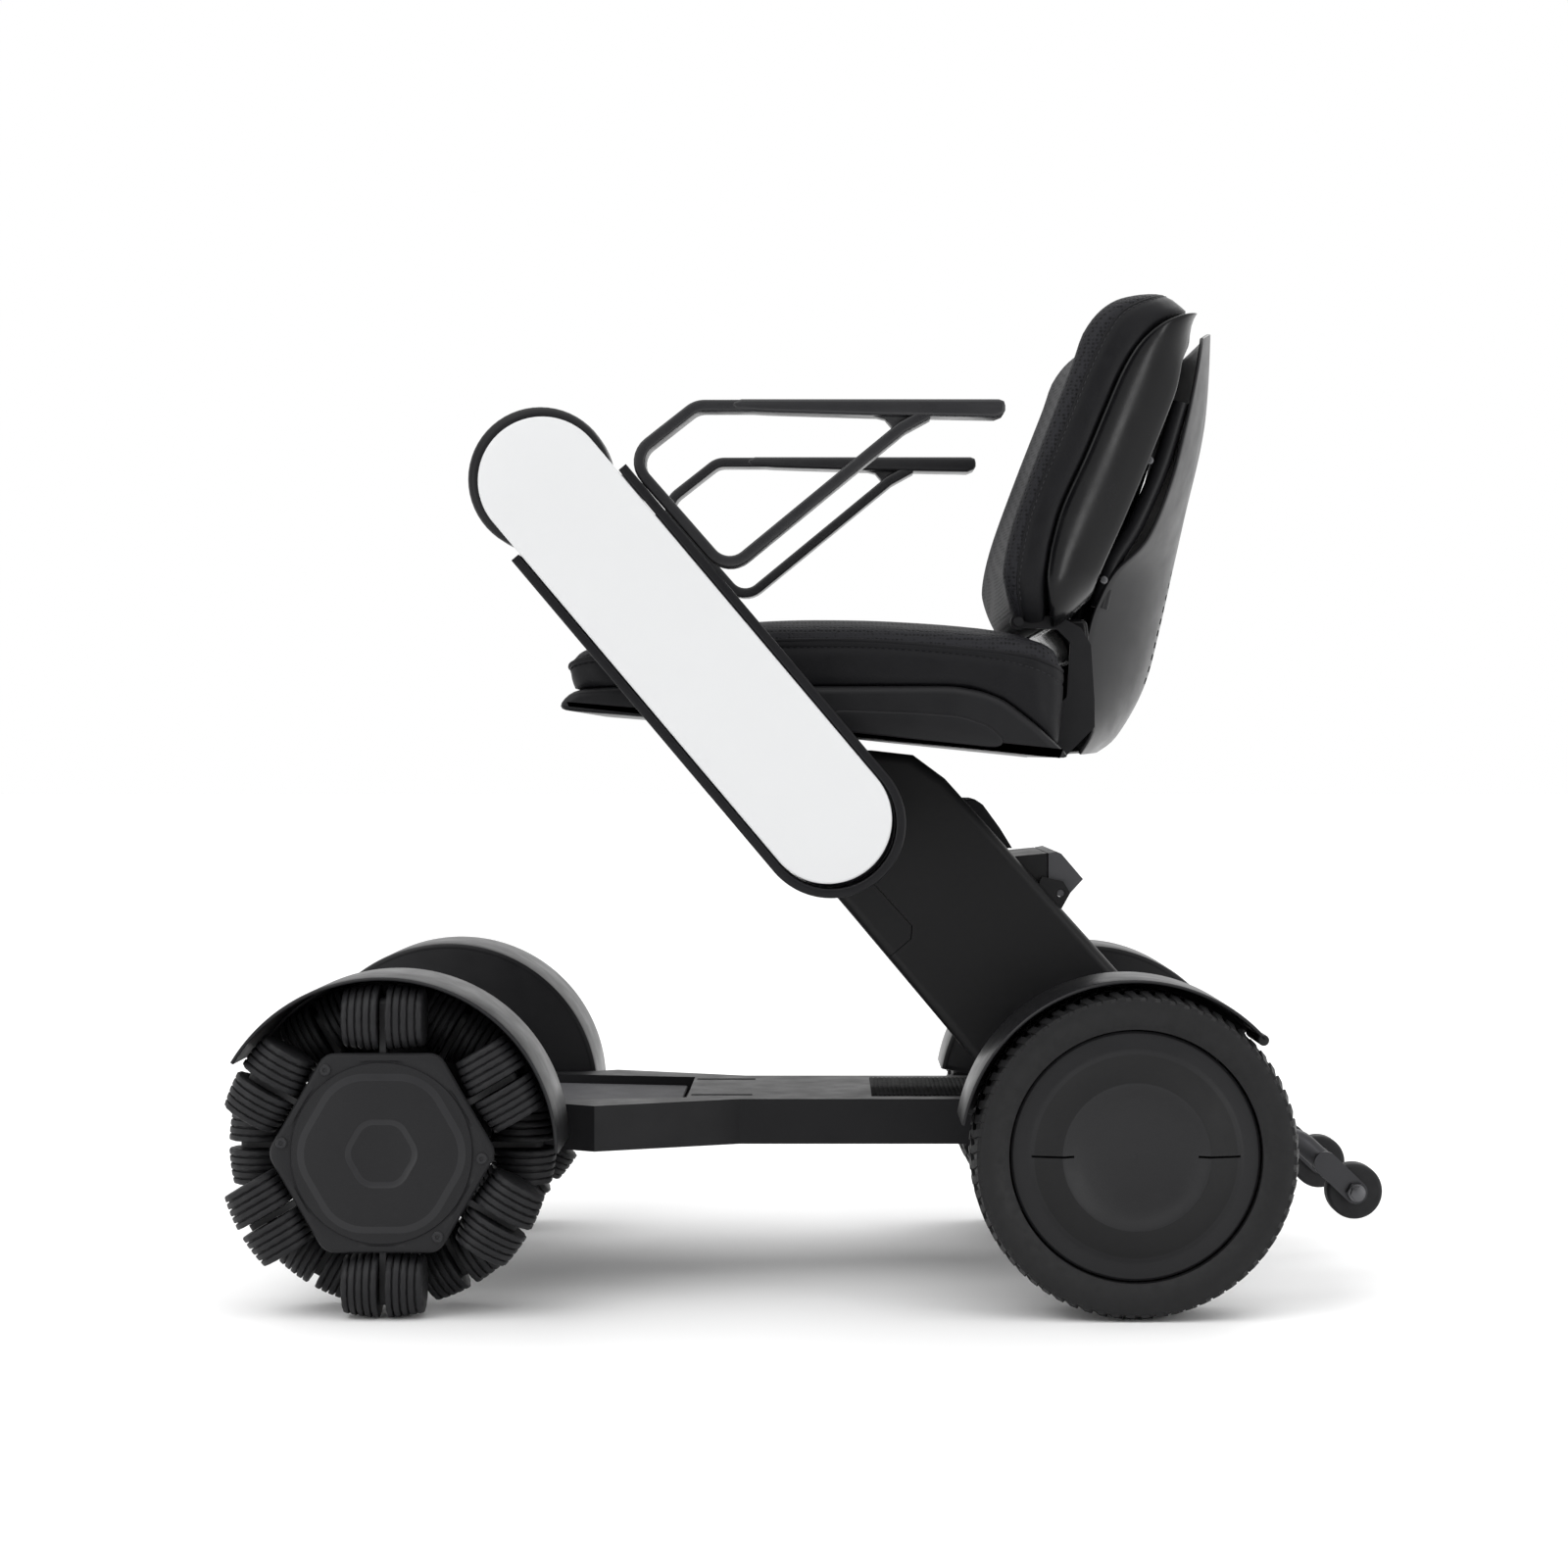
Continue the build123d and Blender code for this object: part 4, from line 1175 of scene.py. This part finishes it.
def back_frame():
    """Two bent tubes between shell and rear panel, and the screw heads beside them."""
    path = smooth_curve([(304, 742), (288, 690), (266, 640), (246, 606), (236, 570)], 8)
    tubes, heads = [], []
    for side, sign in SIDES.items():
        points = [Vector((sign * 121 * MM, *path(k / 30))) for k in range(31)]
        tubes.append(open_tube(f"bent_tube_{side}", points, 7.5 * MM))
    finish_piece(merge_pieces("back_tubes", tubes), "backrest", ["tube"], smooth=50)
    for side in SIDES:
        for place in mm([(275, 691), (237, 592)]):
            circle = arc(place, 3.4 * MM, 0, 345, 23)
            heads.append(prism("head", circle, *span(side, 146 * MM, 152 * MM), 1.2 * MM, steps=3))
    finish_piece(merge_pieces("shell_screws", heads), "backrest", ["nut"], smooth=40)


seat_cushion()
back_cushion()
back_shell()
seat_pan()
rear_panel()
back_frame()


# ---------------------------------------------------------------- deck and axle details
def deck_inlays():
    """Ribbed rubber mat behind the footwell and two narrow drain slots."""
    top = 156 * MM
    start, end, half = 46 * MM, 146 * MM, 71 * MM
    rows = 26
    pitch = (end - start) / rows
    profile = []
    for k in range(rows):
        y = start + (end - start) * k / rows
        profile += [(y + pitch * step, top + height * MM)
                    for step, height in ((0.0, 0.35), (0.22, 0.9), (0.72, 0.9), (0.94, 0.35))]
    profile.append((end, top + 0.35 * MM))
    verts = [(x, y, z) for y, z in profile for x in (-half, half)]
    faces = [(2 * k, 2 * k + 1, 2 * k + 3, 2 * k + 2) for k in range(len(profile) - 1)]
    mat = new_piece("deck_mat", verts, faces)
    thick = mat.modifiers.new("thick", "SOLIDIFY")
    thick.thickness = 0.5 * MM
    finish_piece(mat, "chassis", ["mat"], smooth=20)
    parts = []
    for side in SIDES:
        outline = [(-108 * MM, top), (-56 * MM, top), (-56 * MM, top + 0.5 * MM), (-108 * MM, top + 0.5 * MM)]
        parts.append(prism(f"slot_{side}", outline, *span(side, 61.5 * MM, 64.5 * MM), 0.05 * MM, steps=1))
    finish_piece(merge_pieces("deck_slots", parts), "chassis", ["mat"], smooth=20)


def axle_nuts():
    """Hexagon nut and washer on the outer end of each anti-tip axle."""
    low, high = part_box("anti_tip_bars")
    face = min(abs(high.x), abs(low.x))
    for side in SIDES:
        centre = axle(f"tip_roller_{side}")
        washer = prism(f"washer_{side}", arc(centre, 7.4 * MM, 0, 345, 23),
                       *span(side, face - 0.4 * MM, face + 1.2 * MM), 0.4 * MM, steps=2)
        hexagon = prism(f"hexagon_{side}", arc(centre, 6.2 * MM, 10, 310, 5),
                        *span(side, face + 1 * MM, face + 5 * MM), 0.5 * MM, steps=2)
        nut = merge_pieces(f"axle_nut_{side}", [washer, hexagon])
        finish_piece(nut, "chassis", ["nut"], smooth=30)


deck_inlays()
axle_nuts()

# ---------------------------------------------------------------- softened CAD edges
SOFT_EDGES = {
    "platform": 1.6, "column_shell": 2.4, "column_cover": 1.2, "drive_base": 2.0, "battery": 1.4,
    "release_lever": 1.6, "foot_plate": 0.8, "gear_motors": 1.5, "hinge_brackets": 0.9, "front_axle": 0.6,
    "anti_tip_bars": 0.9, "front_hub_left": 0.7, "front_hub_right": 0.7, "joystick_gimbal": 0.6,
    "joystick_knob": 0.8, "anti_tip_roller_left": 1.2, "anti_tip_roller_right": 1.2,
}
for name, width in SOFT_EDGES.items():
    node = frame["nodes"][name]
    weld = node.modifiers.new("weld", "WELD")
    weld.merge_threshold = 0.00002
    bevel = node.modifiers.new("bevel", "BEVEL")
    bevel.width = width * MM
    bevel.segments = 3
    bevel.angle_limit = math.radians(34)
    bevel.harden_normals = False


# ---------------------------------------------------------------- studio and camera
def area_light(name, place, aim, size, power):
    data = bpy.data.lights.new(name, "AREA")
    data.shape = "RECTANGLE"
    data.size, data.size_y = size
    data.energy = power
    lamp = add_object(name, data)
    lamp.location = place
    lamp.rotation_euler = (Vector(aim) - Vector(place)).to_track_quat("-Z", "Y").to_euler()


def sheet_of(name, corners, mat):
    """Flat studio piece with four corners."""
    mesh = bpy.data.meshes.new(name)
    mesh.from_pydata(corners, [], [(0, 1, 2, 3)])
    mesh.materials.append(mat)
    sheet = add_object(name, mesh)
    return sheet


def dark_card():
    """Black cloth flag beside the chair. It is only there for reflections and soft shading."""
    mat, tree, shader = node_material("flag_cloth", (0.02, 0.02, 0.02), 0.9)
    emboss(tree, shader, noise(tree, object_coords(tree), 300), 0.4, 0.001)
    x, half, low, high = 3.1, 1, 0.3, 1.7
    card = sheet_of("flag", [(x, -half, low), (x, half, low), (x, half, high), (x, -half, high)], mat)
    card.visible_camera = False


def floor():
    """Plain pale floor that reaches far beyond the chair."""
    mat, tree, shader = node_material("floor_paint", (0.9, 0.9, 0.9), 0.6)
    tint(tree, shader, noise(tree, object_coords(tree), 3), (0.89, 0.89, 0.89), (0.91, 0.91, 0.91))
    far = 30
    sheet_of("floor", [(-far, -far, 0), (far, -far, 0), (far, far, 0), (-far, far, 0)], mat)


def studio():
    """White surroundings, soft panels on both sides and a very soft sun that keeps the floor white."""
    world = bpy.data.worlds.new("studio")
    world.use_nodes = True
    set_inputs(world.node_tree.nodes["Background"], Color=(1, 1, 1, 1), Strength=1.0)
    bpy.context.scene.world = world
    bpy.context.scene.view_settings.view_transform = "Standard"
    middle = (cad_low + cad_high) / 2
    area_light("key", (2.2, -1.6, 2.4), middle, (1.4, 1.4), 14)
    area_light("rim", (-1.8, 1.4, 2.2), middle, (1.6, 1.6), 18)
    area_light("rear_strip", (1.9, 2.0, 0.75), (0.2, 0.1, 0.55), (0.35, 1.5), 12)
    area_light("front_strip", (1.9, -2.1, 0.5), (0.2, -0.2, 0.35), (0.35, 1.2), 9)
    sun = bpy.data.lights.new("sky_sun", "SUN")
    sun.energy = 1.3
    sun.angle = math.radians(80)
    add_object("sky_sun", sun).rotation_euler = (math.radians(8), math.radians(10), 0)
    dark_card()
    floor()


def camera():
    """Square side view from the rider's left, a little above the middle of the chair."""
    data = bpy.data.cameras.new("camera")
    data.sensor_width = 36
    data.lens = 70.7
    data.shift_x = -0.02625
    data.shift_y = -0.02
    eye = add_object("camera", data)
    eye.location = (2.7, 0.0064, 0.449)
    eye.rotation_euler = (math.radians(90), 0, math.radians(90))
    bpy.context.scene.camera = eye


studio()
camera()
